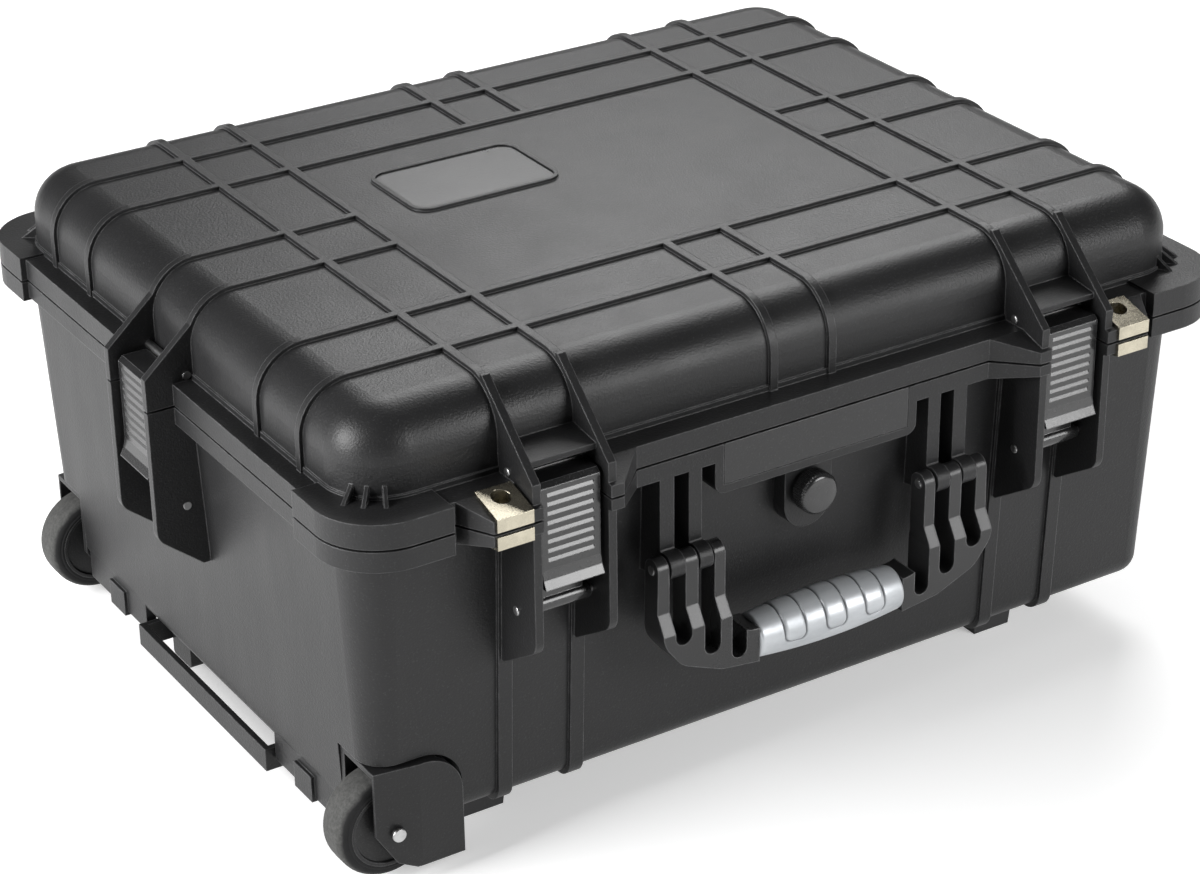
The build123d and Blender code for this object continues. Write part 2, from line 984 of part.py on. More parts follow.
def nose_radius():
    run = catch_pin_inset - lever_pin_inset
    rise = catch_pin_height - lever_pin_height
    return sqrt(run * run + rise * rise) - fin_pin_diameter / 2 - nose_gap


# Nose: a round head about the lever pin, cut off behind the catch pin
def nose_outline(edge):
    centre = (edge - lever_pin_inset, lever_pin_height)
    radius = nose_radius()
    face = edge - latch_face_inset
    reach = 2 * radius
    wrap = radians(nose_wrap)
    keep = outline(
        centre,
        (face, lever_pin_height),
        (face, latch_top - latch_crown),
        (face - latch_crown, latch_top),
        (centre[0] - radius, latch_top),
        (centre[0] + reach * cos(wrap), centre[1] + reach * sin(wrap)),
    )
    return disc(*centre, radius) & keep


def lever_outline(edge):
    face = edge - latch_face_inset
    back = face - lever_thickness
    lip = face + lip_reach
    plate = outline(
        (face, lever_pin_height),
        (face, lip_start_height),
        (face + lip_middle_reach, lip_middle_height),
        (lip, lip_height),
        (lip - lever_thickness, lip_height),
        (back + lip_middle_reach / 2, lip_middle_height),
        (back, lip_start_height),
        (back, lever_pin_height),
    )
    return plate + nose_outline(edge)


def lever_side_outline(edge):
    face = edge - latch_face_inset
    back = face - lever_side_depth
    centre = (edge - lever_pin_inset, lever_pin_height)
    eye = disc(*centre, face - centre[0])
    side = outline(
        (face, lever_pin_height),
        (face, lip_start_height),
        (face - lever_thickness, lip_start_height),
        (back, lip_start_height + lever_side_depth),
        (back, lever_pin_height),
    )
    return side + eye


def lever_grooves(plane, edge):
    face = edge - latch_face_inset
    width = latch_width - 2 * groove_border
    grooves = Part()
    for index in range(groove_count):
        z = lip_start_height + (index + 1) * groove_pitch
        shape = outline(
            (face, z + groove_width / 2),
            (face, z - groove_width / 2),
            (face - groove_depth, z + groove_width / 2),
        )
        grooves += slab(plane, shape, width)
    return grooves


def latch_lever(plane, edge):
    lever = slab(plane, lever_outline(edge), latch_width)
    eye_room = disc(
        edge - lever_pin_inset,
        lever_pin_height,
        link_top_eye_diameter / 2 + link_side_gap,
    )
    room_width = latch_width - 2 * lever_side
    lever -= slab(plane, eye_room, room_width)
    offset = (latch_width - lever_side) / 2
    for side in (-1, 1):
        cheek = slab(plane.offset(side * offset), lever_side_outline(edge), lever_side)
        lever += cheek
    lever -= lever_grooves(plane, edge)
    bore = disc(edge - lever_pin_inset, lever_pin_height, lever_pin_diameter / 2)
    lever -= slab(plane, bore, 2 * latch_width)
    return lever


def lever_pin(plane, edge):
    shape = disc(edge - lever_pin_inset, lever_pin_height, lever_pin_diameter / 2)
    return slab(plane, shape, latch_width)


# Steel guards around the padlock holes: a sloping plate with a lip and an eyelet
def guard(far, near, side):
    lip = far - side * guard_lip
    lift = side * guard_plate
    sheet = outline(
        (guard_back_y, near),
        (ear_front, far),
        (ear_front, lip),
        (ear_front + guard_plate, lip),
        (ear_front + guard_plate, far + lift),
        (guard_back_y, near + lift),
    )
    plate = slab(front_plane(guard_centre_x), sheet, guard_width)
    skin = outline(
        (guard_back_y, near),
        (ear_front, far),
        (ear_front, seam_height + side * (seam_gap / 2 + guard_seat_gap)),
        (guard_back_y, seam_height + side * (seam_gap / 2 + guard_seat_gap)),
    )
    tube = rod_z(guard_hole / 2 + guard_eyelet, 0, lid_top, guard_centre_x, -guard_hole_y)
    plate += tube & slab(front_plane(guard_centre_x), skin, guard_width)
    return plate - rod_z(guard_hole / 2, 0, lid_top, guard_centre_x, -guard_hole_y)


def lid_guard():
    far = seam_height + lid_flange_height - ear_lid_drop
    near = far + ear_lid_drop / ear_reach * guard_back_inset
    return guard(far, near, 1)


def base_guard():
    far = seam_height - base_flange_height + ear_base_rise
    near = far - ear_base_rise / ear_reach * guard_back_inset
    return guard(far, near, -1)


# Carry handle
def arm_silhouette():
    top = handle_axis_z + prong_diameter / 2
    inner = prong_x[0] - prong_width[0] / 2
    collar_top = grip_axis_z + collar_rise
    shape = outline(
        (inner, top),
        (prong_x[2] + prong_width[2] / 2, top),
        (arm_outer_x, handle_axis_z - arm_step_top),
        (arm_outer_x, handle_axis_z - arm_corner_drop),
        (arm_knee_x, handle_axis_z - arm_knee_drop),
        (arm_low_x, handle_axis_z - arm_low_drop),
        (arm_end_x, arm_end_z),
        (arm_end_x, collar_top),
        (inner, collar_top),
    )
    low = shape.vertices().filter_by(lambda spot: spot.Y < handle_axis_z - arm_step_bottom)
    round_ones = [spot for spot in low if arm_end_x < spot.X - arm_round]
    return fillet(round_ones, arm_round)


def arm_profile():
    back = handle_axis_y - arm_back
    front = handle_axis_y + arm_front
    shape = outline(
        (back, handle_axis_z),
        (back, arm_end_z),
        (front + arm_step, arm_end_z),
        (front + arm_step, handle_axis_z - arm_step_bottom),
        (front, handle_axis_z - arm_step_top),
        (front, handle_axis_z),
    )
    return shape + disc(handle_axis_y, handle_axis_z, prong_diameter / 2)


def handle_slots():
    slots = Part()
    grip_low = slot_grip_x - slot_grip_width / 2
    gaps = (
        (grip_low, grip_low + slot_grip_width, slot_grip_foot),
        (prong_x[0] + prong_width[0] / 2, prong_x[1] - prong_width[1] / 2, slot_inner_foot),
        (prong_x[1] + prong_width[1] / 2, prong_x[2] - prong_width[2] / 2, slot_outer_foot),
    )
    for low, high, drop in gaps:
        foot = handle_axis_z - drop
        top = handle_axis_z + prong_diameter
        slots += block(low, high, -full_depth, -base_half_y, foot, top)
        radius = (high - low) / 2
        slots += rod_y(radius, -full_depth, -base_half_y, (low + high) / 2, foot)
    return slots


def handle_frame():
    depth = full_depth - base_half_y
    plate = slab(facing_plane(-handle_axis_y), arm_silhouette(), depth)
    middle = (arm_end_x + arm_outer_x) / 2
    arm = plate & slab(front_plane(middle), arm_profile(), arm_outer_x - arm_end_x + 1)
    arm -= handle_slots()
    arm -= rod_x(
        (handle_pin_diameter + pin_clearance) / 2,
        arm_end_x,
        2 * arm_outer_x,
        -handle_axis_y,
        handle_axis_z,
    )
    frame = both_x(arm)
    frame += rod_x(grip_core / 2, -arm_end_x, arm_end_x, -grip_axis_y, grip_axis_z)
    return frame


def handle_grip():
    half = min(grip_length / 2, arm_end_x)
    rim = grip_diameter / 2
    belly = rim + grip_belly
    shape = outline(
        (-half, grip_core / 2),
        (-half, rim),
        (-grip_belly_half, belly - grip_belly / 3),
        (0, belly),
        (grip_belly_half, belly - grip_belly / 3),
        (half, rim),
        (half, grip_core / 2),
    )
    grip = revolve(Plane.XY * shape, Axis.X)
    return Pos(0, -grip_axis_y, grip_axis_z) * grip


def handle_pins():
    x0 = prong_x[0] - prong_width[0] / 2 - handle_pin_overhang
    x1 = prong_x[2] + prong_width[2] / 2 + handle_pin_overhang
    pin = rod_x(handle_pin_diameter / 2, x0, x1, -handle_axis_y, handle_axis_z)
    return Compound([pin, mirror_x(pin)])


def hinge_pins():
    pins = []
    half = hinge_lid_knuckle / 2 + hinge_gap + hinge_knuckle
    for x in hinge_centres:
        pins.append(
            rod_x(hinge_pin_diameter / 2, x - half, x + half, hinge_axis_y, seam_height)
        )
    return Compound(pins)


# Pressure valve, with a D-shaped collar that is cut to the slope of the wall
def valve_sleeve(radius):
    inner_end = -base_half_y + base_wall + valve_sleeve_reach
    return rod_y(radius, -boss_face_y, inner_end, 0, valve_height)


def valve_housing():
    radius = boss_diameter / 2
    behind = -base_half_y + base_wall
    collar = rod_y(radius, -boss_face_y, behind, 0, boss_height)
    collar += block(-radius, radius, -boss_face_y, behind, boss_height, pad_foot)
    collar -= tray(0, base_bottom, base_corner, base_edge_round)
    collar += valve_sleeve(valve_sleeve_diameter / 2)
    return collar - valve_sleeve((valve_stem_diameter + pin_clearance) / 2)


def valve_stem():
    back = -boss_face_y - (valve_back_gap - valve_seal_thickness) / 2
    ring = rod_y(valve_seal_diameter / 2, back - valve_seal_thickness, back, 0, valve_height)
    front_end = -boss_face_y - valve_back_gap - valve_stem_grip
    stem_end = -base_half_y + valve_stem_reach
    return ring + rod_y(valve_stem_diameter / 2, front_end, stem_end, 0, valve_height)


def valve_knob():
    back = boss_face_y + valve_back_gap
    radius = valve_knob_diameter / 2
    points = []
    for index in range(4 * valve_flute_count):
        angle = radians(90 / valve_flute_count * index)
        reach = radius - (valve_flute_depth if index % 4 > 1 else 0)
        points.append((reach * cos(angle), valve_height + reach * sin(angle)))
    middle = -(back + valve_face_y) / 2
    knob = slab(facing_plane(middle), outline(*points), valve_face_y - back)
    depth = valve_face_y - back - valve_dome
    body = rod_y(radius, -back - depth, -back, 0, valve_height)
    crown = Cone(radius, radius - valve_dome, valve_dome)
    body += Pos(0, -valve_face_y + valve_dome / 2, valve_height) * Rot(90, 0, 0) * crown
    bore = (valve_stem_diameter + pin_clearance) / 2
    return (knob & body) - rod_y(bore, -back - valve_stem_grip, -back, 0, valve_height)


# Wheel parts are drawn on the front side and mirrored for the rear
def housing_outline():
    middle = (-wheel_axle_x, wheel_axle_height)
    shape = outline(
        (-housing_right_x, housing_foot),
        (-housing_right_x, housing_top),
        (-housing_left_x, housing_top),
        (-housing_left_x, middle[1]),
        (middle[0], housing_foot + housing_plate),
        (middle[0] + housing_foot, housing_foot),
    )
    corner = shape.vertices().sort_by(Axis.X)[-2:].sort_by(Axis.Y)[-1]
    return fillet(corner, housing_round)


def housing_sheet(y0, y1):
    return slab(facing_plane((y0 + y1) / 2), housing_outline(), y1 - y0)


def housing_fold():
    cut = outline(
        (-housing_fold_x, -housing_face_y),
        (-housing_left_x, -housing_face_y + housing_fold_drop),
        (-housing_left_x, -housing_face_y - housing_plate),
        (-housing_fold_x, -housing_face_y - housing_plate),
    )
    return slab(Plane.XY.offset(housing_top / 2), cut, 2 * housing_top)


def wheel_housing():
    outer = housing_sheet(-housing_face_y, -housing_face_y + housing_plate)
    outer -= housing_fold()
    inner = housing_sheet(-housing_inner_y - housing_inner_plate, -housing_inner_y)
    whole = housing_sheet(-housing_face_y, -housing_inner_y)
    back = whole & block(
        -housing_right_x - housing_web,
        -housing_right_x,
        -housing_face_y,
        -housing_inner_y,
        housing_foot,
        housing_top,
    )
    top = whole & block(
        -housing_left_x,
        -housing_right_x,
        -housing_face_y,
        -housing_inner_y,
        housing_top - housing_top_web,
        housing_top,
    )
    top -= housing_fold()
    housing = outer + inner + back + top
    centre = (-wheel_axle_x, wheel_axle_height)
    return housing - rod_y(axle_diameter / 2, -full_depth, 0, *centre)


def wheel_axle():
    centre = (-wheel_axle_x, wheel_axle_height)
    axle = rod_y(axle_diameter / 2, -housing_face_y, -housing_inner_y, *centre)
    head = rod_y(
        axle_head_diameter / 2,
        -housing_face_y - axle_head_height,
        -housing_face_y,
        *centre,
    )
    return axle + head


def wheel_hub():
    centre = (-wheel_axle_x, wheel_axle_height)
    radius = wheel_diameter / 2 - tyre_depth
    front = -wheel_outer_y
    back = front + wheel_width
    boss_front = -housing_face_y + housing_plate + hub_side_gap
    boss_back = -housing_inner_y - housing_inner_plate - hub_side_gap
    hub = rod_y(radius, front, back, *centre)
    hub += rod_y(hub_boss_diameter / 2, boss_front, boss_back, *centre)
    bore = axle_diameter / 2 + wheel_running_gap
    return hub - rod_y(bore, boss_front, boss_back, *centre)


def wheel_tyre():
    centre = (-wheel_axle_x, wheel_axle_height)
    front = -wheel_outer_y
    back = front + wheel_width
    tyre = rod_y(wheel_diameter / 2, front, back, *centre)
    tyre = chamfer(tyre.edges().filter_by(GeomType.CIRCLE), tyre_shoulder)
    return tyre - rod_y(wheel_diameter / 2 - tyre_depth, front, back, *centre)


# Feet, end rail and screws
def feet():
    plan = Rectangle(foot_length, foot_width)
    start = Plane(origin=(0, 0, base_bottom), x_dir=(1, 0, 0), z_dir=(0, 0, -1))
    foot = extrude(start * plan, amount=base_bottom, taper=foot_taper)
    solids = []
    for side_x in (-1, 1):
        for side_y in (-1, 1):
            solids.append(Pos(side_x * foot_x, side_y * foot_y, 0) * foot)
    return Compound(solids)


def end_rail():
    face = -rail_x - rail_thickness / 2
    back = face + rail_thickness
    top = base_bottom - base_rib_height
    bar = block(face, back, -rail_half, rail_half, rail_foot, top)
    inner = rail_half - rail_thickness
    post = block(face, face + rail_block, inner, rail_half, rail_foot, top)
    seat = face + rail_block - rail_seat
    post += block(seat, face + rail_block, inner, rail_half, rail_foot, base_bottom)
    return bar + both_y(post)


# Trolley handle under the base
def trolley_covers():
    room = sleeve_diameter / 2 + cover_gap
    length = sleeve_half + cover_gap + cover_wall
    half = room + cover_wall
    cover = block(
        -length, length, sleeve_y - half, sleeve_y + half, cover_foot, base_bottom
    )
    corners = cover.edges().filter_by(Axis.X).group_by(Axis.Z)[0]
    cover = fillet(corners, cover_wall)
    cover -= block(
        -sleeve_half - cover_gap,
        sleeve_half + cover_gap,
        sleeve_y - room,
        sleeve_y + room,
        cover_foot + cover_wall,
        base_bottom,
    )
    cover -= rod_x(room, sleeve_half, 2 * sleeve_half, sleeve_y, sleeve_z)
    return Compound([cover, mirror_y(cover)])


def trolley_sleeves():
    outer = sleeve_diameter / 2
    inner = (tube_diameter + tube_clearance) / 2
    sleeve = rod_x(outer, -sleeve_half, sleeve_half, sleeve_y, sleeve_z)
    sleeve -= rod_x(inner, -sleeve_mouth, sleeve_half, sleeve_y, sleeve_z)
    return Compound([sleeve, mirror_y(sleeve)])


def trolley_tubes():
    start = grip_bar_x - socket_depth
    tube = rod_x(tube_diameter / 2, -tube_far_x, grip_bar_x - tube_wall, sleeve_y, sleeve_z)
    hollow = tube_diameter / 2 - tube_wall
    tube -= rod_x(hollow, -tube_far_x, start, sleeve_y, sleeve_z)
    return Compound([tube, mirror_y(tube)])


def trolley_grip():
    bar = block(
        grip_bar_x - grip_bar_depth,
        grip_bar_x,
        -grip_bar_half,
        grip_bar_half,
        grip_bar_foot,
        grip_bar_top,
    )
    socket = block(
        grip_bar_x - socket_depth,
        grip_bar_x,
        sleeve_y - socket_width / 2,
        sleeve_y + socket_width / 2,
        grip_bar_foot,
        grip_bar_top,
    )
    grip = bar + both_y(socket)
    tube = rod_x(
        tube_diameter / 2,
        grip_bar_x - socket_depth,
        grip_bar_x - tube_wall,
        sleeve_y,
        sleeve_z,
    )
    grip -= both_y(tube)
    return grip - button_room()


def button_room():
    inner = grip_bar_x - grip_bar_depth
    depth = button_depth + button_travel + button_gap - button_proud
    half_height = button_height / 2 + button_gap
    middle = (grip_bar_foot + grip_bar_top) / 2
    return block(
        inner,
        inner + depth,
        -button_half - button_gap,
        button_half + button_gap,
        middle - half_height,
        middle + half_height,
    )


def release_button():
    start = grip_bar_x - grip_bar_depth - button_proud
    middle = (grip_bar_foot + grip_bar_top) / 2
    button = block(
        start,
        start + button_depth,
        -button_half,
        button_half,
        middle - button_height / 2,
        middle + button_height / 2,
    )
    return fillet(button.edges().filter_by(Axis.X), button_round)


# Plates, seal and linings
def name_panel():
    return block(
        -panel_width / 2,
        panel_width / 2,
        -flange_half_y,
        -flange_half_y + panel_thickness,
        panel_foot,
        base_rim,
    )


def lid_nameplate():
    return plate_area(0, lid_top - plate_recess, plate_thickness)


def lid_seal():
    foot = base_rim + seal_gap
    height = seal_height - groove_play + lid_foot - foot
    return seal_ring(seal_inset, seal_width, height, foot)


def base_foam():
    bottom = base_bottom + base_floor
    inset = base_wall + wall_back(bottom) + pad_margin
    width = 2 * (base_half_x - inset)
    depth = 2 * (base_half_y - inset)
    plan = RectangleRounded(width, depth, base_corner - base_wall)
    plane = Plane.XY.offset(bottom + pad_clearance)
    pad = extrude(plane * plan, amount=base_pad_height)
    return pad - wheel_well(well_wall + pad_clearance)


def lid_foam():
    inset = lid_wall + pad_margin
    width = 2 * (lid_half_x - inset)
    depth = 2 * (lid_half_y - inset)
    top = lid_top - lid_wall - pad_clearance
    plane = Plane.XY.offset(top - lid_pad_height)
    plan = RectangleRounded(width, depth, lid_corner)
    return extrude(plane * plan, amount=lid_pad_height, taper=lid_pad_draft)


# Assembly of named pieces
def latch_pieces():
    mounts = {
        "front_left": (front_plane(-latch_centre_x), fin_edge_y),
        "front_right": (front_plane(latch_centre_x), fin_edge_y),
        "trolley_end": (right_plane(0), fin_edge_x),
    }
    pieces = {}
    for name, (plane, edge) in mounts.items():
        pieces["latch_link_" + name] = latch_link(plane, edge)
        pieces["latch_lever_" + name] = latch_lever(plane, edge)
        pieces["lever_pin_" + name] = lever_pin(plane, edge)
    for kind in ("latch_link_", "latch_lever_", "lever_pin_"):
        pieces[kind + "wheel_end"] = mirror_x(pieces[kind + "trolley_end"])
    return pieces


def wheel_pieces():
    pieces = {}
    front = {
        "wheel_housing_front": wheel_housing(),
        "wheel_axle_front": wheel_axle(),
        "wheel_hub_front": wheel_hub(),
        "wheel_tyre_front": wheel_tyre(),
    }
    for name, shape in front.items():
        pieces[name] = shape
        pieces[name.replace("front", "rear")] = mirror_y(shape)
    return pieces


def guard_pieces():
    return {
        "lid_guard_right": lid_guard(),
        "lid_guard_left": mirror_x(lid_guard()),
        "base_guard_right": base_guard(),
        "base_guard_left": mirror_x(base_guard()),
    }


def main():
    pieces = {
        "base_shell": base_shell(),
        "lid_shell": lid_shell(),
        "base_latch_pins": fin_pins(latch_pin_inset, latch_pin_height),
        "catch_pins": fin_pins(catch_pin_inset, catch_pin_height),
        "handle_frame": handle_frame(),
        "handle_grip": handle_grip(),
        "handle_pins": handle_pins(),
        "hinge_pins": hinge_pins(),
        "valve_housing": valve_housing(),
        "valve_stem": valve_stem(),
        "valve_knob": valve_knob(),
        "feet": feet(),
        "end_rail": end_rail(),
        "trolley_covers": trolley_covers(),
        "trolley_sleeves": trolley_sleeves(),
        "trolley_tubes": trolley_tubes(),
        "trolley_grip": trolley_grip(),
        "release_button": release_button(),
        "name_panel": name_panel(),
        "lid_nameplate": lid_nameplate(),
        "lid_seal": lid_seal(),
        "base_foam": base_foam(),
        "lid_foam": lid_foam(),
    }
    pieces.update(latch_pieces())
    pieces.update(wheel_pieces())
    pieces.update(guard_pieces())
    os.makedirs("parts", exist_ok=True)
    for name, shape in pieces.items():
        export_step(shape, f"parts/{name}.step")


main()
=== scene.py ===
"""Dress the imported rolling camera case: finishes, turned pieces, soft linings, light and camera."""

import json
import logging
from dataclasses import dataclass
from enum import Enum
from math import cos, pi, radians, sin
from typing import Callable, Optional, Sequence, Union

import bpy
import numpy as np
from mathutils import Matrix, Vector


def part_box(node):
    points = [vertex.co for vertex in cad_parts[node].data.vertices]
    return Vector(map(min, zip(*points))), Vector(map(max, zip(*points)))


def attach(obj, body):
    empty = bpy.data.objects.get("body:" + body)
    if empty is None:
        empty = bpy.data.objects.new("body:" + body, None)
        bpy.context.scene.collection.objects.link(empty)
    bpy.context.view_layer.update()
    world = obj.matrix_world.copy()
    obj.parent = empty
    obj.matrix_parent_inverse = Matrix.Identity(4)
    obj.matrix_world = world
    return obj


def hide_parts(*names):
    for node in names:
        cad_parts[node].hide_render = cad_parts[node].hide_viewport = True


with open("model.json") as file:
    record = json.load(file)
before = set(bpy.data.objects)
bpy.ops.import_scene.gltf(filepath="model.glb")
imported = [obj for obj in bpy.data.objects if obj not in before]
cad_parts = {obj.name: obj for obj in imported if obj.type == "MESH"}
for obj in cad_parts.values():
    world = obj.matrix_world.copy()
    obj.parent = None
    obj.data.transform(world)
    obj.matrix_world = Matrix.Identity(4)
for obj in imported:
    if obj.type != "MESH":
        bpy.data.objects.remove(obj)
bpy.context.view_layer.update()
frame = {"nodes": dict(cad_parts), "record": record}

LOG = logging.getLogger("camera_case")
MM = 0.001
POLE_RADIUS = 1e-6
BEVEL_SAMPLES = 4
NOISE_BAND = (0.3, 0.7)
WHITE = (1.0, 1.0, 1.0)
Array = np.ndarray
Band = tuple[float, float]
Colour = tuple[float, float, float]
Place = tuple[float, float, float]
Socket = bpy.types.NodeSocket
Value = Union[float, Colour, Socket]


class Axis(Enum):
    """Direction along which a turned piece has its axis."""

    X = 0
    Y = 1


class EdgeRubAndHighlight(Enum):
    """How strongly the raised edges of a finish are lightened, as rubbed wear and painted highlight."""

    LIGHT = 0.5
    USED = 0.8


# Node trees
@dataclass(frozen=True)
class Pattern:
    """Soft noise: cells per metre, finer layers, share of each layer, stretch along the axes."""

    scale: float
    detail: float = 2.0
    roughness: float = 0.5
    stretch: Place = (1.0, 1.0, 1.0)


class NodeSheet:
    """One material's node tree, with short calls that add and join nodes."""

    def __init__(self, name: str) -> None:
        """Start an empty material with its shader and output.

        Args:
            name: Material name.
        """
        self.material = bpy.data.materials.new(name)
        self.material.use_nodes = True
        self.tree = self.material.node_tree
        self.tree.nodes.clear()
        output = self.tree.nodes.new("ShaderNodeOutputMaterial")
        self.shader = self.tree.nodes.new("ShaderNodeBsdfPrincipled")
        self.join(self.shader.outputs["BSDF"], output.inputs["Surface"])

    def join(self, source: Socket, target: Socket) -> None:
        """Link two sockets.

        Args:
            source: Output socket.
            target: Input socket.
        """
        self.tree.links.new(source, target)

    def put(self, socket: Socket, value: Value) -> None:
        """Set an input socket to a number or link it to another socket.

        Args:
            socket: Input socket that is set.
            value: Number, tuple or output socket.
        """
        if isinstance(value, Socket):
            self.join(value, socket)
        else:
            socket.default_value = value

    def set(self, name: str, value: Value) -> None:
        """Set or link an input of the shader.

        Args:
            name: Name of the input.
            value: Number, colour or output socket.
        """
        if isinstance(value, tuple) and len(value) == 3:
            value = (*value, 1.0)
        self.put(self.shader.inputs[name], value)

    def place(self, stretch: Place = (1.0, 1.0, 1.0)) -> Socket:
        """Stretched object coordinates.

        Args:
            stretch: Factor along each axis.

        Returns:
            The vector socket of the mapping node.
        """
        coordinates = self.tree.nodes.new("ShaderNodeTexCoord")
        mapping = self.tree.nodes.new("ShaderNodeMapping")
        mapping.inputs["Scale"].default_value = stretch
        self.join(coordinates.outputs["Object"], mapping.inputs["Vector"])
        return mapping.outputs["Vector"]

    def noise(self, pattern: Pattern) -> Socket:
        """Soft noise in object coordinates.

        Args:
            pattern: Scale, layers and stretch of the noise.

        Returns:
            The factor socket, about 0 to 1.
        """
        node = self.tree.nodes.new("ShaderNodeTexNoise")
        node.inputs["Scale"].default_value = pattern.scale
        node.inputs["Detail"].default_value = pattern.detail
        node.inputs["Roughness"].default_value = pattern.roughness
        self.join(self.place(pattern.stretch), node.inputs["Vector"])
        return node.outputs["Fac"]

    def cells(self, scale: float) -> Socket:
        """Distance to the nearest of scattered points.

        Args:
            scale: Points per metre.

        Returns:
            The distance socket, about 0 to 1.
        """
        node = self.tree.nodes.new("ShaderNodeTexVoronoi")
        node.inputs["Scale"].default_value = scale
        self.join(self.place(), node.inputs["Vector"])
        return node.outputs["Distance"]

    def own(self, name: str) -> Socket:
        """Value of the piece's own point attribute.

        Args:
            name: Name of the attribute.

        Returns:
            The factor socket.
        """
        node = self.tree.nodes.new("ShaderNodeAttribute")
        node.attribute_name = name
        return node.outputs["Fac"]

    def spread(self, value: Value, band: Band, low: float = 0.0, high: float = 1.0) -> Socket:
        """Carry a value from one range to another, clamped.

        Args:
            value: Value that is carried.
            band: Range that the value comes from.
            low: Result at the start of the band.
            high: Result at the end of the band.

        Returns:
            The result socket.
        """
        node = self.tree.nodes.new("ShaderNodeMapRange")
        self.put(node.inputs["Value"], value)
        node.inputs["From Min"].default_value = band[0]
        node.inputs["From Max"].default_value = band[1]
        node.inputs["To Min"].default_value = low
        node.inputs["To Max"].default_value = high
        return node.outputs["Result"]

    def maths(self, kind: str, first: Value, second: Value) -> Socket:
        """Join two values by a math operation.

        Args:
            kind: Name of the operation, such as ADD or MAXIMUM.
            first: First value.
            second: Second value.

        Returns:
            The result socket.
        """
        node = self.tree.nodes.new("ShaderNodeMath")
        node.operation = kind
        self.put(node.inputs[0], first)
        self.put(node.inputs[1], second)
        return node.outputs[0]

    def times(self, first: Value, second: Value) -> Socket:
        """Multiply two values.

        Args:
            first: First value.
            second: Second value.

        Returns:
            The result socket.
        """
        return self.maths("MULTIPLY", first, second)

    def mix(self, factor: Value, first: Value, second: Value) -> Socket:
        """Blend two colours.

        Args:
            factor: Share of the second colour.
            first: First colour.
            second: Second colour.

        Returns:
            The colour socket.
        """
        node = self.tree.nodes.new("ShaderNodeMix")
        node.data_type = "RGBA"
        self.put(node.inputs["Factor"], factor)
        colours = [s for s in node.inputs if s.type == "RGBA"]
        for socket, value in zip(colours, (first, second)):
            if isinstance(value, tuple):
                value = (*value, 1.0)
            self.put(socket, value)
        return [s for s in node.outputs if s.type == "RGBA"][0]

    def rounded(self, radius: float) -> Socket:
        """Normal smoothed over sharp edges.

        Args:
            radius: Reach of the smoothing in metres.

        Returns:
            The normal socket.
        """
        node = self.tree.nodes.new("ShaderNodeBevel")
        node.samples = BEVEL_SAMPLES
        node.inputs["Radius"].default_value = radius
        return node.outputs["Normal"]

    def edges(self, normal: Socket, reach: float = 0.12) -> Socket:
        """Mask that is 1 on edges, where the smoothed normal leaves the true one.

        Args:
            normal: Smoothed normal from `rounded`.
            reach: Share of turn that counts as a full edge.

        Returns:
            The mask socket.
        """
        geometry = self.tree.nodes.new("ShaderNodeNewGeometry")
        dot = self.tree.nodes.new("ShaderNodeVectorMath")
        dot.operation = "DOT_PRODUCT"
        self.join(normal, dot.inputs[0])
        self.join(geometry.outputs["Normal"], dot.inputs[1])
        return self.spread(dot.outputs["Value"], (1.0, 1.0 - reach))

    def relief(
        self, height: Socket, depth: float, strength: float, normal: Optional[Socket] = None,
    ) -> Socket:
        """Bump from a height value.

        Args:
            height: Height socket, about 0 to 1.
            depth: Metres between height 0 and 1.
            strength: Share of the relief that shows.
            normal: Normal that the relief is laid on.

        Returns:
            The normal socket.
        """
        node = self.tree.nodes.new("ShaderNodeBump")
        node.inputs["Strength"].default_value = strength
        node.inputs["Distance"].default_value = depth
        self.put(node.inputs["Height"], height)
        if normal is not None:
            self.join(normal, node.inputs["Normal"])
        return node.outputs["Normal"]


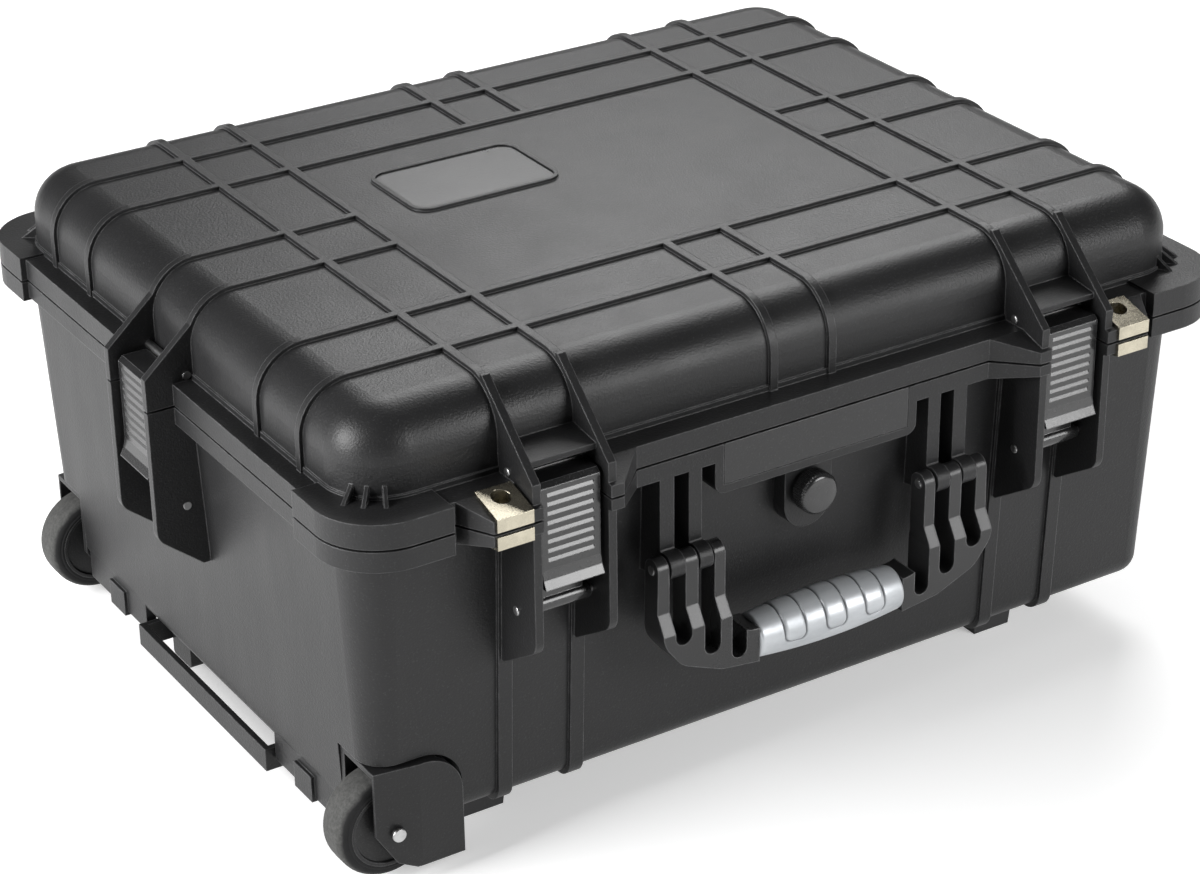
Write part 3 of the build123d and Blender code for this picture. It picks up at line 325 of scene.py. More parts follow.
# Surfaces made from grids of points
class Surface:
    """A mesh woven from rows of points, closed across each row."""

    def __init__(
        self, name: str, rows: Sequence[Array], ends_meet: bool = False, mask: Optional[Array] = None,
    ) -> None:
        """Keep the rows.

        Args:
            name: Object name.
            rows: Arrays of n x 3 points in metres, or 1 x 3 for a pole.
            ends_meet: Whether the last row joins the first one.
            mask: One value for each point, kept as the attribute called mask.
        """
        self.name = name
        self.rows = list(rows)
        self.ends_meet = ends_meet
        self.mask = mask

    @staticmethod
    def weave(first: Array, second: Array) -> Array:
        """Faces between two rows of point numbers; a row of one number is a pole.

        Args:
            first: Point numbers of one row.
            second: Point numbers of the next row.

        Returns:
            Face array with 3 or 4 columns.
        """
        if len(first) == 1:
            return np.stack([np.full(len(second), first[0]), second, np.roll(second, -1)], 1)
        if len(second) == 1:
            return np.stack([first, np.full(len(first), second[0]), np.roll(first, -1)], 1)
        return np.stack([first, second, np.roll(second, -1), np.roll(first, -1)], 1)

    def build(self, material: bpy.types.Material, body: str, smooth_angle: float = 40.0) -> bpy.types.Object:
        """Make the object, turn its normals outward and let it ride.

        Args:
            material: Finish of the piece.
            body: Body that it rides on.
            smooth_angle: Edges sharper than this many degrees stay sharp.

        Returns:
            The new object.
        """
        sizes = np.array([len(row) for row in self.rows])
        starts = np.concatenate([[0], np.cumsum(sizes)[:-1]])
        numbers = [np.arange(start, start + size) for start, size in zip(starts, sizes)]
        pairs = list(zip(numbers[:-1], numbers[1:]))
        if self.ends_meet:
            pairs.append((numbers[-1], numbers[0]))
        faces = [face for pair in pairs for face in self.weave(*pair).tolist()]
        mesh = bpy.data.meshes.new(self.name)
        mesh.from_pydata(np.concatenate(self.rows).tolist(), [], faces)
        self.face_outward(mesh)
        mesh.polygons.foreach_set("use_smooth", np.ones(len(mesh.polygons), bool))
        mesh.set_sharp_from_angle(angle=radians(smooth_angle))
        if self.mask is not None:
            layer = mesh.attributes.new("mask", "FLOAT", "POINT")
            layer.data.foreach_set("value", self.mask.astype(np.float32))
        mesh.materials.append(material)
        piece = bpy.data.objects.new(self.name, mesh)
        bpy.context.collection.objects.link(piece)
        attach(piece, body)
        LOG.info("built %s with %d faces", self.name, len(faces))
        return piece

    @staticmethod
    def face_outward(mesh: bpy.types.Mesh) -> None:
        """Turn every face over if the closed mesh encloses a negative volume.

        Args:
            mesh: Mesh that is put right.
        """
        mesh.calc_loop_triangles()
        spots = np.empty(3 * len(mesh.vertices))
        mesh.vertices.foreach_get("co", spots)
        corners = np.empty(3 * len(mesh.loop_triangles), int)
        mesh.loop_triangles.foreach_get("vertices", corners)
        a, b, c = np.moveaxis(spots.reshape(-1, 3)[corners.reshape(-1, 3)], 1, 0)
        if np.einsum("ij,ij->", a, np.cross(b, c)) < 0:
            mesh.flip_normals()


def turned_rows(
    profile: Array, centre: Sequence[float], axis: Axis, count: int,
    shape: Optional[Callable[[float, Array], Array]] = None,
) -> list[Array]:
    """Sweep a profile round an axis.

    Each profile point has a radius and a distance along the axis. The point
    at angle t is centre + distance along the axis + radius * (cos t, sin t)
    in the plane across it. A radius of zero gives a pole.

    Args:
        profile: n x 2 array of radius and distance in millimetres.
        centre: Point on the axis in millimetres.
        axis: Direction of the axis.
        count: Points round the axis.
        shape: Gives the radii round the axis from one radius and the angles.

    Returns:
        One row of points in metres for each profile point.
    """
    turn = np.linspace(0, 2 * pi, count, endpoint=False)
    order = np.roll(np.arange(3), -axis.value)
    rows = []
    for radius, distance in profile:
        angles = turn if radius > POLE_RADIUS else turn[:1]
        reach = shape(radius, angles) if shape else radius
        row = np.zeros((len(angles), 3))
        row[:, order[0]] = distance
        row[:, order[1]] = reach * np.cos(angles)
        row[:, order[2]] = reach * np.sin(angles)
        rows.append((row + np.asarray(centre)) * MM)
    return rows


def rounded_path(points: Sequence[tuple[float, float]], radii: Sequence[float], steps: int) -> Array:
    """Round the inner corners of a path of points.

    Each corner is replaced by a curve that leaves the first side and meets
    the second one at the given distance from the corner, drawn as the blend
    (1-t)^2 start + 2t(1-t) corner + t^2 end.

    Args:
        points: Corners of the path.
        radii: Distance for each inner corner, 0 for a sharp one.
        steps: Points on each curve.

    Returns:
        The rounded path as an n x 2 array.
    """
    spots = np.array(points, float)
    path = [spots[:1]]
    for before, corner, after, radius in zip(spots[:-2], spots[1:-1], spots[2:], radii):
        if radius <= 0:
            path.append(corner[None])
            continue
        start = corner + (before - corner) / np.linalg.norm(before - corner) * radius
        end = corner + (after - corner) / np.linalg.norm(after - corner) * radius
        t = np.linspace(0, 1, steps)[:, None]
        path.append((1 - t) ** 2 * start + 2 * t * (1 - t) * corner + t**2 * end)
    path.append(spots[-1:])
    return np.concatenate(path)


# Finishes
def shade(colour: Colour, factor: float) -> Colour:
    """Lighten or darken a colour.

    Args:
        colour: Colour that is changed.
        factor: Share of its brightness that is left.

    Returns:
        The new colour.
    """
    return tuple(part * factor for part in colour)


@dataclass(frozen=True)
class MouldedPlastic:
    """Black moulded plastic: fine pebbled skin, drifting sheen, edges lightened as rubbed wear and painted
    highlight.
    """

    name: str
    colour: Colour = (0.014, 0.014, 0.0145)
    # Light edge colour: rubbed wear and a painted highlight along raised edges.
    rubbed_and_highlight: Colour = (0.3, 0.3, 0.305)
    dark_share: float = 0.8
    light_share: float = 1.25
    roughness: float = 0.4
    drift: float = 0.07
    specular: float = 0.3
    grain: Pattern = Pattern(1250.0, 2.0, 0.6)
    pebble_scale: float = 687.5
    pebble_share: float = 0.7
    grain_depth: float = 0.00011
    grain_strength: float = 0.9
    edge_radius: float = 0.0009
    edge_rub_and_highlight: EdgeRubAndHighlight = EdgeRubAndHighlight.LIGHT
    broad: Pattern = Pattern(6.0, 3.0, 0.55)
    smears: Pattern = Pattern(28.0, 4.0, 0.6, (1.0, 1.0, 0.25))
    broad_share: float = 0.6
    gloss_band: Band = (0.32, 0.68)
    scratches: Pattern = Pattern(160.0, 5.0, 0.7)
    scuff_band: Band = (0.38, 0.66)
    scuff_least: float = 0.3
    dots: Pattern = Pattern(1000.0, 1.0, 0.5)
    speck_band: Band = (0.6, 0.78)
    speck_most: float = 0.06

    def build(self) -> bpy.types.Material:
        """Grain from a noise and cells; gloss from a broad and a finer noise; edges lightened as rubbed wear
        and painted highlight.

        Returns:
            The material.
        """
        sheet = NodeSheet(self.name)
        smooth = sheet.rounded(self.edge_radius)
        pebbles = sheet.times(sheet.cells(self.pebble_scale), self.pebble_share)
        height = sheet.maths("ADD", sheet.noise(self.grain), pebbles)
        sheet.set("Normal", sheet.relief(height, self.grain_depth, self.grain_strength, smooth))

        broad = sheet.noise(self.broad)
        smears = sheet.times(sheet.noise(self.smears), 1 - self.broad_share)
        gloss = sheet.maths("ADD", sheet.times(broad, self.broad_share), smears)
        low, high = self.roughness - self.drift, self.roughness + self.drift
        sheet.set("Roughness", sheet.spread(gloss, self.gloss_band, low, high))
        sheet.set("Specular IOR Level", self.specular)

        # Painted highlight and wear: raised edges are lightened towards the light edge colour and broken up
        # by noise; specks take the same colour.
        scuffs = sheet.spread(sheet.noise(self.scratches), self.scuff_band, self.scuff_least)
        rub_and_highlight = sheet.times(sheet.times(sheet.edges(smooth), scuffs), self.edge_rub_and_highlight.value)
        specks = sheet.spread(sheet.noise(self.dots), self.speck_band, high=self.speck_most)
        dark, light = shade(self.colour, self.dark_share), shade(self.colour, self.light_share)
        tint = sheet.mix(sheet.spread(broad, NOISE_BAND), dark, light)
        sheet.set("Base Color", sheet.mix(sheet.maths("MAXIMUM", rub_and_highlight, specks), tint, self.rubbed_and_highlight))
        return sheet.material


@dataclass(frozen=True)
class Steel:
    """Plated or turned steel with fine brushing and small handling marks."""

    name: str
    colour: Colour
    dark_share: float = 0.78
    roughness: float = 0.22
    smoother: float = 0.07
    rougher: float = 0.12
    brushing: Pattern = Pattern(900.0, 3.0, 0.6, (1.0, 1.0, 14.0))
    marks: Pattern = Pattern(120.0, 5.0, 0.65)
    line_share: float = 0.5
    line_depth: float = 0.00002
    line_strength: float = 0.3
    mark_band: Band = (0.35, 0.65)
    edge_radius: float = 0.0004

    def build(self) -> bpy.types.Material:
        """Brushing is noise stretched along one axis; marks are a coarser noise.

        Returns:
            The material.
        """
        sheet = NodeSheet(self.name)
        smooth = sheet.rounded(self.edge_radius)
        lines = sheet.noise(self.brushing)
        marks = sheet.noise(self.marks)
        rest = sheet.times(marks, 1 - self.line_share)
        blend = sheet.maths("ADD", sheet.times(lines, self.line_share), rest)
        low, high = self.roughness - self.smoother, self.roughness + self.rougher
        sheet.set("Metallic", 1.0)
        sheet.set("Roughness", sheet.spread(blend, NOISE_BAND, low, high))
        dark = shade(self.colour, self.dark_share)
        sheet.set("Base Color", sheet.mix(sheet.spread(marks, self.mark_band), dark, self.colour))
        sheet.set("Normal", sheet.relief(lines, self.line_depth, self.line_strength, smooth))
        return sheet.material


@dataclass(frozen=True)
class Rubber:
    """Rubber or soft overmould: dull, finely pitted, dusty in broad patches."""

    name: str
    colour: Colour
    dust: Colour = (0.12, 0.12, 0.115)
    broad: Pattern = Pattern(25.0, 4.0, 0.6)
    dust_band: Band = (0.45, 0.75)
    speckle: Pattern = Pattern(700.0, 3.0, 0.7)
    speckle_band: Band = (0.45, 0.7)
    speckle_most: float = 0.6
    roughness: float = 0.68
    smoother: float = 0.08
    rougher: float = 0.1
    pit_scale: float = 1100.0
    pit_depth: float = 0.00008
    pit_strength: float = 0.4
    edge_radius: float = 0.0006

    def build(self) -> bpy.types.Material:
        """Pits are cells; dust is a broken broad noise over the base colour.

        Returns:
            The material.
        """
        sheet = NodeSheet(self.name)
        smooth = sheet.rounded(self.edge_radius)
        pits = sheet.cells(self.pit_scale)
        broad = sheet.noise(self.broad)
        speckle = sheet.spread(sheet.noise(self.speckle), self.speckle_band, high=self.speckle_most)
        dust = sheet.times(sheet.spread(broad, self.dust_band), speckle)
        low, high = self.roughness - self.smoother, self.roughness + self.rougher
        sheet.set("Base Color", sheet.mix(dust, self.colour, self.dust))
        sheet.set("Roughness", sheet.spread(broad, NOISE_BAND, low, high))
        sheet.set("Normal", sheet.relief(pits, self.pit_depth, self.pit_strength, smooth))
        return sheet.material


@dataclass(frozen=True)
class WornTyre:
    """Tyre rubber whose tread is scuffed to grey where the piece's mask is 1."""

    name: str = "tyre_rubber"
    colour: Colour = (0.014, 0.014, 0.0145)
    tread: Colour = (0.085, 0.085, 0.082)
    roughness: float = 0.7
    smoother: float = 0.1
    rougher: float = 0.12
    specular: float = 0.2
    patches: Pattern = Pattern(90.0, 4.0, 0.6)
    patch_shift: Band = (-0.35, 0.25)
    tread_band: Band = (0.25, 0.9)
    scratches: Pattern = Pattern(500.0, 6.0, 0.75)
    scratch_band: Band = (0.35, 0.65)
    scratch_least: float = 0.45
    scratch_depth: float = 0.00025
    scratch_strength: float = 0.5

    def build(self) -> bpy.types.Material:
        """Fine scratches and patches break the edge of the worn band.

        Returns:
            The material.
        """
        sheet = NodeSheet(self.name)
        scratches = sheet.noise(self.scratches)
        patches = sheet.noise(self.patches)
        band = sheet.maths("ADD", sheet.own("mask"), sheet.spread(patches, NOISE_BAND, *self.patch_shift))
        broken = sheet.spread(scratches, self.scratch_band, self.scratch_least)
        worn = sheet.times(sheet.spread(band, self.tread_band), broken)
        low, high = self.roughness - self.smoother, self.roughness + self.rougher
        sheet.set("Base Color", sheet.mix(worn, self.colour, self.tread))
        sheet.set("Roughness", sheet.spread(patches, NOISE_BAND, low, high))
        sheet.set("Normal", sheet.relief(scratches, self.scratch_depth, self.scratch_strength))
        sheet.set("Specular IOR Level", self.specular)
        return sheet.material


@dataclass(frozen=True)
class GripSkin:
    """Silver soft-touch skin: fine flake, light handling marks, darker lines."""

    name: str = "grip_rubber"
    colour: Colour = (0.54, 0.56, 0.58)
    worn: Colour = (0.43, 0.45, 0.47)
    line: Colour = (0.16, 0.165, 0.175)
    metal: float = 0.35
    roughness: float = 0.34
    smoother: float = 0.06
    rougher: float = 0.12
    marks: Pattern = Pattern(70.0, 5.0, 0.65, (0.4, 1.0, 1.0))
    mark_band: Band = (0.4, 0.7)
    flake: Pattern = Pattern(2600.0, 2.0, 0.5)
    flake_depth: float = 0.00003
    flake_strength: float = 0.4

    def build(self) -> bpy.types.Material:
        """The lines follow the piece's mask; flake is a very fine noise.

        Returns:
            The material.
        """
        sheet = NodeSheet(self.name)
        flake = sheet.noise(self.flake)
        marks = sheet.noise(self.marks)
        skin = sheet.mix(sheet.spread(marks, self.mark_band), self.colour, self.worn)
        low, high = self.roughness - self.smoother, self.roughness + self.rougher
        sheet.set("Base Color", sheet.mix(sheet.own("mask"), skin, self.line))
        sheet.set("Metallic", self.metal)
        sheet.set("Roughness", sheet.spread(marks, NOISE_BAND, low, high))
        sheet.set("Normal", sheet.relief(flake, self.flake_depth, self.flake_strength))
        return sheet.material


@dataclass(frozen=True)
class OpenFoam:
    """Charcoal open-cell foam: deep pores, no gloss."""

    name: str = "foam"
    colour: Colour = (0.035, 0.036, 0.038)
    pore_shade: Colour = (0.012, 0.012, 0.013)
    big_scale: float = 900.0
    small_scale: float = 2200.0
    small_share: float = 0.5
    pore_band: Band = (0.2, 0.8)
    pore_depth: float = 0.0004
    pore_strength: float = 0.6
    drift: Pattern = Pattern(60.0)
    roughness: Band = (0.88, 1.0)

    def build(self) -> bpy.types.Material:
        """Pores are two sizes of cells that dent the surface and darken it with painted shade.

        Returns:
            The material.
        """
        sheet = NodeSheet(self.name)
        small = sheet.times(sheet.cells(self.small_scale), self.small_share)
        depth = sheet.maths("ADD", sheet.cells(self.big_scale), small)
        # Painted shade: the pore dents are darkened towards the pore shade colour.
        sheet.set("Base Color", sheet.mix(sheet.spread(depth, self.pore_band), self.pore_shade, self.colour))
        sheet.set("Roughness", sheet.spread(sheet.noise(self.drift), NOISE_BAND, *self.roughness))
        sheet.set("Normal", sheet.relief(depth, self.pore_depth, self.pore_strength))
        return sheet.material


@dataclass(frozen=True)
class PaleFloor:
    """White sweep that camera, mirrors and glass see as white, with the case's shadow."""

    name: str = "pale_floor"
    colour: Colour = (0.88, 0.88, 0.88)
    drift: Pattern = Pattern(3.0)
    roughness: Band = (0.85, 0.95)
    lift: float = 0.36
    lift_band: Band = (1.0, 2.6)

    def build(self) -> bpy.types.Material:
        """Diffuse paint, lifted only for rays that show it, and up to white far from the case.

        Returns:
            The material.
        """
        sheet = NodeSheet(self.name)
        sheet.set("Base Color", self.colour)
        sheet.set("Roughness", sheet.spread(sheet.noise(self.drift), NOISE_BAND, *self.roughness))
        path = sheet.tree.nodes.new("ShaderNodeLightPath")
        seen = sheet.maths("MAXIMUM", path.outputs["Is Camera Ray"], path.outputs["Is Glossy Ray"])
        seen = sheet.maths("MAXIMUM", seen, path.outputs["Is Transmission Ray"])
        length = sheet.tree.nodes.new("ShaderNodeVectorMath")
        length.operation = "LENGTH"
        sheet.join(sheet.place(), length.inputs[0])
        lift = sheet.spread(length.outputs["Value"], self.lift_band, self.lift, 1.0)
        sheet.set("Emission Color", WHITE)
        sheet.set("Emission Strength", sheet.times(seen, lift))
        return sheet.material


class Finishes:
    """All finishes of the case, built once and looked up by material slot."""

    def __init__(self) -> None:
        """Build every finish."""
        kinds = (
            MouldedPlastic("shell_plastic"),
            MouldedPlastic("panel_plastic", roughness=0.32, specular=0.45, grain_strength=0.3),
            # Latch and handle get stronger edge lightening, as rubbed wear and painted highlight.
            MouldedPlastic(
                "latch_plastic", roughness=0.2, drift=0.05, specular=0.7, grain_strength=0.1,
                edge_radius=0.0006, edge_rub_and_highlight=EdgeRubAndHighlight.USED,
            ),
            MouldedPlastic(
                "handle_plastic", colour=(0.016, 0.016, 0.0165), roughness=0.28, drift=0.06,
                specular=0.45, grain_strength=0.15, edge_radius=0.001, edge_rub_and_highlight=EdgeRubAndHighlight.USED,
            ),
            GripSkin(),
            Steel("pin_steel", colour=(0.55, 0.55, 0.55), roughness=0.3),
            Steel("guard_steel", colour=(0.52, 0.48, 0.38), roughness=0.24),
            Steel(
                "tube_aluminium", colour=(0.6, 0.6, 0.61),
                brushing=Pattern(900.0, 3.0, 0.6, (0.05, 1.0, 1.0)),
            ),
            Steel("valve_brass", colour=(0.7, 0.52, 0.24), roughness=0.25),
            WornTyre(),
            MouldedPlastic("hub_plastic", roughness=0.45),
            Rubber("foot_rubber", colour=(0.022, 0.022, 0.023)),
            Rubber("seal_rubber", colour=(0.02, 0.02, 0.021), roughness=0.55),
            OpenFoam(),
        )
        self.slots = {kind.name: kind.build() for kind in kinds}

    def for_slot(self, slot: str) -> bpy.types.Material:
        """Finish for a material slot of the record.

        Args:
            slot: Name of the slot.

        Returns:
            The material.
        """
        return self.slots[slot]


# Pieces made here
def seat(node: str) -> tuple[Array, Array]:
    """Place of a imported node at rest.

    Args:
        node: Name of the node.

    Returns:
        Middle and half size of its box, in millimetres.
    """
    low, high = (np.array(corner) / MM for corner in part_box(node))
    return (low + high) / 2, (high - low) / 2


@dataclass
class CarryGrip:
    """Grip of the carry handle: a bellied tube with three panels cut into it."""

    rim: float = 12.0
    bore: float = 6.0
    end_round: float = 1.6
    end_limit: float = 0.999
    panel_steps: tuple[int, ...] = (-1, 0, 1)
    panel_pitch: float = 25.0
    panel_half: float = 6.25
    panel_foot: float = -14.0
    panel_head: float = 205.0
    panel_round: float = 4.0
    line_width: float = 0.5
    line_depth: float = 0.8
    swell: float = 0.3
    swell_reach: float = 2.0
    rows: int = 400
    spokes: int = 220
    smooth_angle: float = 60.0

    def distance(self, along: Array, turn: Array) -> Array:
        """Distance to the outline of the nearest panel, negative inside it.

        A panel is a rounded rectangle on the unrolled grip:
        hypot(max(a, 0), max(b, 0)) + min(max(a, b), 0) - round, where a and b
        are the distances past its straight sides.

        Args:
            along: Places along the grip in millimetres.
            turn: Angles round the grip, 0 at the front and 90 degrees on top.

        Returns:
            Distances in millimetres.
        """
        middle = radians((self.panel_foot + self.panel_head) / 2)
        half_turn = radians((self.panel_head - self.panel_foot) / 2)
        gap = np.abs((turn - middle + pi) % (2 * pi) - pi) - half_turn
        across = gap * self.rim + self.panel_round
        nearest = np.full_like(along, np.inf)
        for step in self.panel_steps:
            side = np.abs(along - step * self.panel_pitch) - self.panel_half + self.panel_round
            outer = np.hypot(np.maximum(side, 0), np.maximum(across, 0))
            here = outer + np.minimum(np.maximum(side, across), 0) - self.panel_round
            nearest = np.minimum(nearest, here)
        return nearest

    def build(self, finishes: Finishes) -> None:
        """Sweep rows along the outside and back through the bore.

        The radius is rim + belly * (1 - (x / half)^2) - swell * (1 - s) -
        depth * exp(-(d / width)^2), where d is the distance to a panel outline
        and s grows from 0 there to 1 inside the panel. Each end is rounded by
        round * (1 - sqrt(1 - limit * e^2)), where e grows from 0 to 1 over
        its last stretch.

        Args:
            finishes: The case's finishes.
        """
        middle, half = seat("handle_grip")
        belly = half[2] - self.rim
        along = np.linspace(-half[0], half[0], self.rows)
        turn = np.linspace(0, 2 * pi, self.spokes, endpoint=False)
        x, t = np.meshgrid(along, turn, indexing="ij")
        gap = self.distance(x, t)
        groove = np.exp(-((gap / self.line_width) ** 2))
        radius = self.rim + belly * (1 - (x / half[0]) ** 2) - self.swell
        radius += self.swell * np.clip(-gap / self.swell_reach, 0, 1) - self.line_depth * groove
        near_end = np.clip((np.abs(x) - half[0] + self.end_round) / self.end_round, 0, 1)
        radius -= self.end_round * (1 - np.sqrt(1 - self.end_limit * near_end**2))
        ends = np.array([half[0], -half[0]])
        x = np.concatenate([x, np.repeat(ends[:, None], self.spokes, 1)])
        t = np.concatenate([t, t[:2]])
        radius = np.concatenate([radius, np.full((2, self.spokes), self.bore)])
        across, up = middle[1] - radius * np.cos(t), middle[2] + radius * np.sin(t)
        points = np.stack([middle[0] + x, across, up], -1)
        mask = np.concatenate([groove.ravel(), np.zeros(2 * self.spokes)])
        surface = Surface("carry_grip", list(points * MM), ends_meet=True, mask=mask)
        piece = surface.build(finishes.for_slot("grip_rubber"), "handle", self.smooth_angle)
        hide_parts("handle_grip")


@dataclass(frozen=True)
class DomeHead:
    """Rivet head: a low rim and a dome, closed by a flat underside."""

    radius: float
    height: float
    rim_share: float = 1 / 3
    arc_points: int = 9
    spokes: int = 32

    def build(
        self, name: str, centre: Sequence[float], axis: Axis, side: int, finishes: Finishes, body: str,
    ) -> None:
        """Turn the dome (radius cos t, rim + (height - rim) sin t) round its axis.

        Args:
            name: Object name.
            centre: Middle of the underside in millimetres.
            axis: Direction of the rivet.
            side: 1 if the dome points along the axis, -1 against it.
            finishes: The case's finishes.
            body: Body that it rides on.
        """
        angle = np.linspace(0, pi / 2, self.arc_points)
        rim = self.height * self.rim_share
        arc = np.stack([self.radius * np.cos(angle), rim + (self.height - rim) * np.sin(angle)], 1)
        profile = np.concatenate([[(0.0, 0.0), (self.radius, 0.0)], arc])
        profile[-1, 0] = 0.0
        profile[:, 1] *= side
        rows = turned_rows(profile, centre, axis, self.spokes)
        piece = Surface(name, rows).build(finishes.for_slot("pin_steel"), body)


@dataclass
class Wheel:
    """Road wheel: crowned tyre with a scuffed tread, dished hub, domed axle head."""

    end: str
    tyre_depth: float = 7.0
    shoulder: float = 3.4
    crown: float = 0.3
    crown_round: float = 5.0
    side_inset: float = 0.4
    bead_height: float = 1.8
    bead_slope: float = 0.6
    side_rounds: tuple[float, ...] = (2.2, 1.8, 0.3, 0.3)
    tread_depth: float = 3.2
    tread_fade: float = 2.2
    tyre_steps: int = 7
    tyre_spokes: int = 144
    smooth_angle: float = 60.0
    boss_radius: float = 8.0
    bore: float = 2.55
    dish: float = 1.6
    hub_rim: float = 2.0
    hub_slope: float = 0.4
    hub_rounds: tuple[float, ...] = (0.0, 0.3, 0.4, 0.6, 0.5)
    hub_steps: int = 5
    hub_spokes: int = 96
    head: DomeHead = DomeHead(radius=3.7, height=1.5)
    head_sunk: float = 1.2

    def build(self, finishes: Finishes) -> None:
        """Make tyre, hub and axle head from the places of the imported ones.

        Args:
            finishes: The case's finishes.
        """
        self.centre, half = seat("wheel_tyre_" + self.end)
        self.radius, self.half = half[0], half[1]
        self.side = 1 if self.centre[1] > 0 else -1
        self.tyre(finishes)
        self.hub(finishes)
        self.axle_head(finishes)

    def tyre(self, finishes: Finishes) -> None:
        """Closed ring: tread with a slight crown and rounded shoulders.

        Args:
            finishes: The case's finishes.
        """
        inner, half, outer = self.radius - self.tyre_depth, self.half, self.radius
        wall = half - self.side_inset
        side = [
            (outer - self.crown, half - self.shoulder), (outer - self.shoulder, wall),
            (inner + self.bead_height, wall), (inner + self.bead_height - self.bead_slope, half),
            (inner, half),
        ]
        mirrored = [(r, -d) for r, d in reversed(side)]
        rounds = (*reversed(self.side_rounds), self.crown_round, *self.side_rounds)
        profile = rounded_path([*mirrored, (outer, 0.0), *side], rounds, self.tyre_steps)
        worn = np.clip((profile[:, 0] - outer + self.tread_depth) / self.tread_fade, 0, 1)
        rows = turned_rows(profile, self.centre, Axis.Y, self.tyre_spokes)
        mask = np.repeat(worn, self.tyre_spokes)
        surface = Surface("tyre_" + self.end, rows, ends_meet=True, mask=mask)
        piece = surface.build(finishes.for_slot("tyre_rubber"), "wheel_" + self.end, self.smooth_angle)
        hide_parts("wheel_tyre_" + self.end)

    def hub(self, finishes: Finishes) -> None:
        """Closed ring: bore, boss, dish and rim on both faces.

        Args:
            finishes: The case's finishes.
        """
        middle, half = seat("wheel_hub_" + self.end)
        rim, width, foot = self.radius - self.tyre_depth, self.half, self.half - self.dish
        offset = middle[1] - self.centre[1]
        faces = []
        for sign in (1, -1):
            boss = sign * half[1] + offset
            faces.append([
                (rim, sign * width), (rim - self.hub_rim, sign * width),
                (rim - self.hub_rim - self.hub_slope, sign * foot),
                (self.boss_radius, sign * foot), (self.boss_radius, boss), (self.bore, boss),
            ])
        points = [*reversed(faces[1]), *faces[0]]
        rounds = (*reversed(self.hub_rounds), *self.hub_rounds)
        profile = rounded_path(points, rounds, self.hub_steps)
        rows = turned_rows(profile, self.centre, Axis.Y, self.hub_spokes)
        surface = Surface("hub_" + self.end, rows, ends_meet=True)
        piece = surface.build(finishes.for_slot("hub_plastic"), "wheel_" + self.end)
        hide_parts("wheel_hub_" + self.end)

    def axle_head(self, finishes: Finishes) -> None:
        """Dome over the flat head of the axle.

        Args:
            finishes: The case's finishes.
        """
        middle, half = seat("wheel_axle_" + self.end)
        face = middle[1] + self.side * (half[1] - self.head_sunk)
        centre = (middle[0], face, middle[2])
        self.head.build("axle_head_" + self.end, centre, Axis.Y, self.side, finishes, "base")


@dataclass
class PinHeads:
    """Riveted ends of the pins that cross the front fins and the handle bars."""

    head: DomeHead = DomeHead(radius=2.5, height=0.9)
    fin_half: float = 23.25
    pin_radius: float = 2.2
    handle_outer: float = 102.05
    handle_inner: float = 62.2

    def build(self, finishes: Finishes) -> None:
        """Put a head on every visible pin end.

        Args:
            finishes: The case's finishes.
        """
        for kind, node, body in (("catch", "catch_pins", "lid"), ("latch", "base_latch_pins", "base")):
            middle, half = seat(node)
            front = middle[1] - half[1] + self.pin_radius
            for name in ("left", "right"):
                fins = seat("latch_lever_front_" + name)[0][0]
                for side in (-1, 1):
                    centre = (fins + side * self.fin_half, front, middle[2])
                    title = f"{kind}_head_{name}_{side + 1}"
                    self.head.build(title, centre, Axis.X, side, finishes, body)
        middle = seat("handle_pins")[0]
        for side in (-1, 1):
            for place, out in ((self.handle_inner, -side), (self.handle_outer, side)):
                centre = (side * place, middle[1], middle[2])
                title = f"handle_head_{side + 1}_{out + 1}"
                self.head.build(title, centre, Axis.X, out, finishes, "base")


@dataclass
class ValveKnob:
    """Knob of the pressure valve: finely toothed rim round a smooth domed face."""

    crown: float = 2.6
    teeth: int = 44
    tooth_depth: float = 0.45
    tooth_band: Band = (1.4, 0.4)
    bore: float = 4.05
    bore_depth: float = 4.15
    back_inset: float = 0.5
    back_height: float = 0.6
    face_inset: float = 1.6
    face_drop: float = 0.9
    middle_share: float = 0.5
    middle_drop: float = 0.1
    rounds: tuple[float, ...] = (0.3, 0.3, 0.4, 1.0, 1.0, 2.0)
    steps: int = 6
    spokes: int = 528

    def rim(self, radius: float, angles: Array) -> Array:
        """Radius round the knob, with teeth that fade over the crown.

        The radius at angle t is r - s * depth * (1 + cos(teeth * t)) / 2,
        where s grows from 0 to 1 over the tooth band.

        Args:
            radius: Radius of the profile point in millimetres.
            angles: Angles round the knob.

        Returns:
            One radius for each angle.
        """
        start, end = self.tooth_band
        share = np.clip((radius - self.radius + start) / (start - end), 0, 1)
        return radius - share * self.tooth_depth * (1 + np.cos(self.teeth * angles)) / 2

    def build(self, finishes: Finishes) -> None:
        """Sweep the profile from the bore over the rim to the middle of the face.

        Args:
            finishes: The case's finishes.
        """
        middle, half = seat("valve_knob")
        self.radius, depth = half[0], 2 * half[1]
        points = [
            (self.bore, self.bore_depth), (self.bore, 0.0),
            (self.radius - self.back_inset, 0.0), (self.radius, self.back_height),
            (self.radius, depth - self.crown), (self.radius - self.face_inset, depth - self.face_drop),
            (self.radius * self.middle_share, depth - self.middle_drop), (0.0, depth),
        ]
        outline = rounded_path(points, self.rounds, self.steps)
        profile = np.concatenate([[(0.0, self.bore_depth)], outline])
        profile[:, 1] *= -1
        centre = (middle[0], middle[1] + half[1], middle[2])
        rows = turned_rows(profile, centre, Axis.Y, self.spokes, self.rim)
        piece = Surface("valve_cap", rows).build(finishes.for_slot("latch_plastic"), "valve_knob")
        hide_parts("valve_knob")


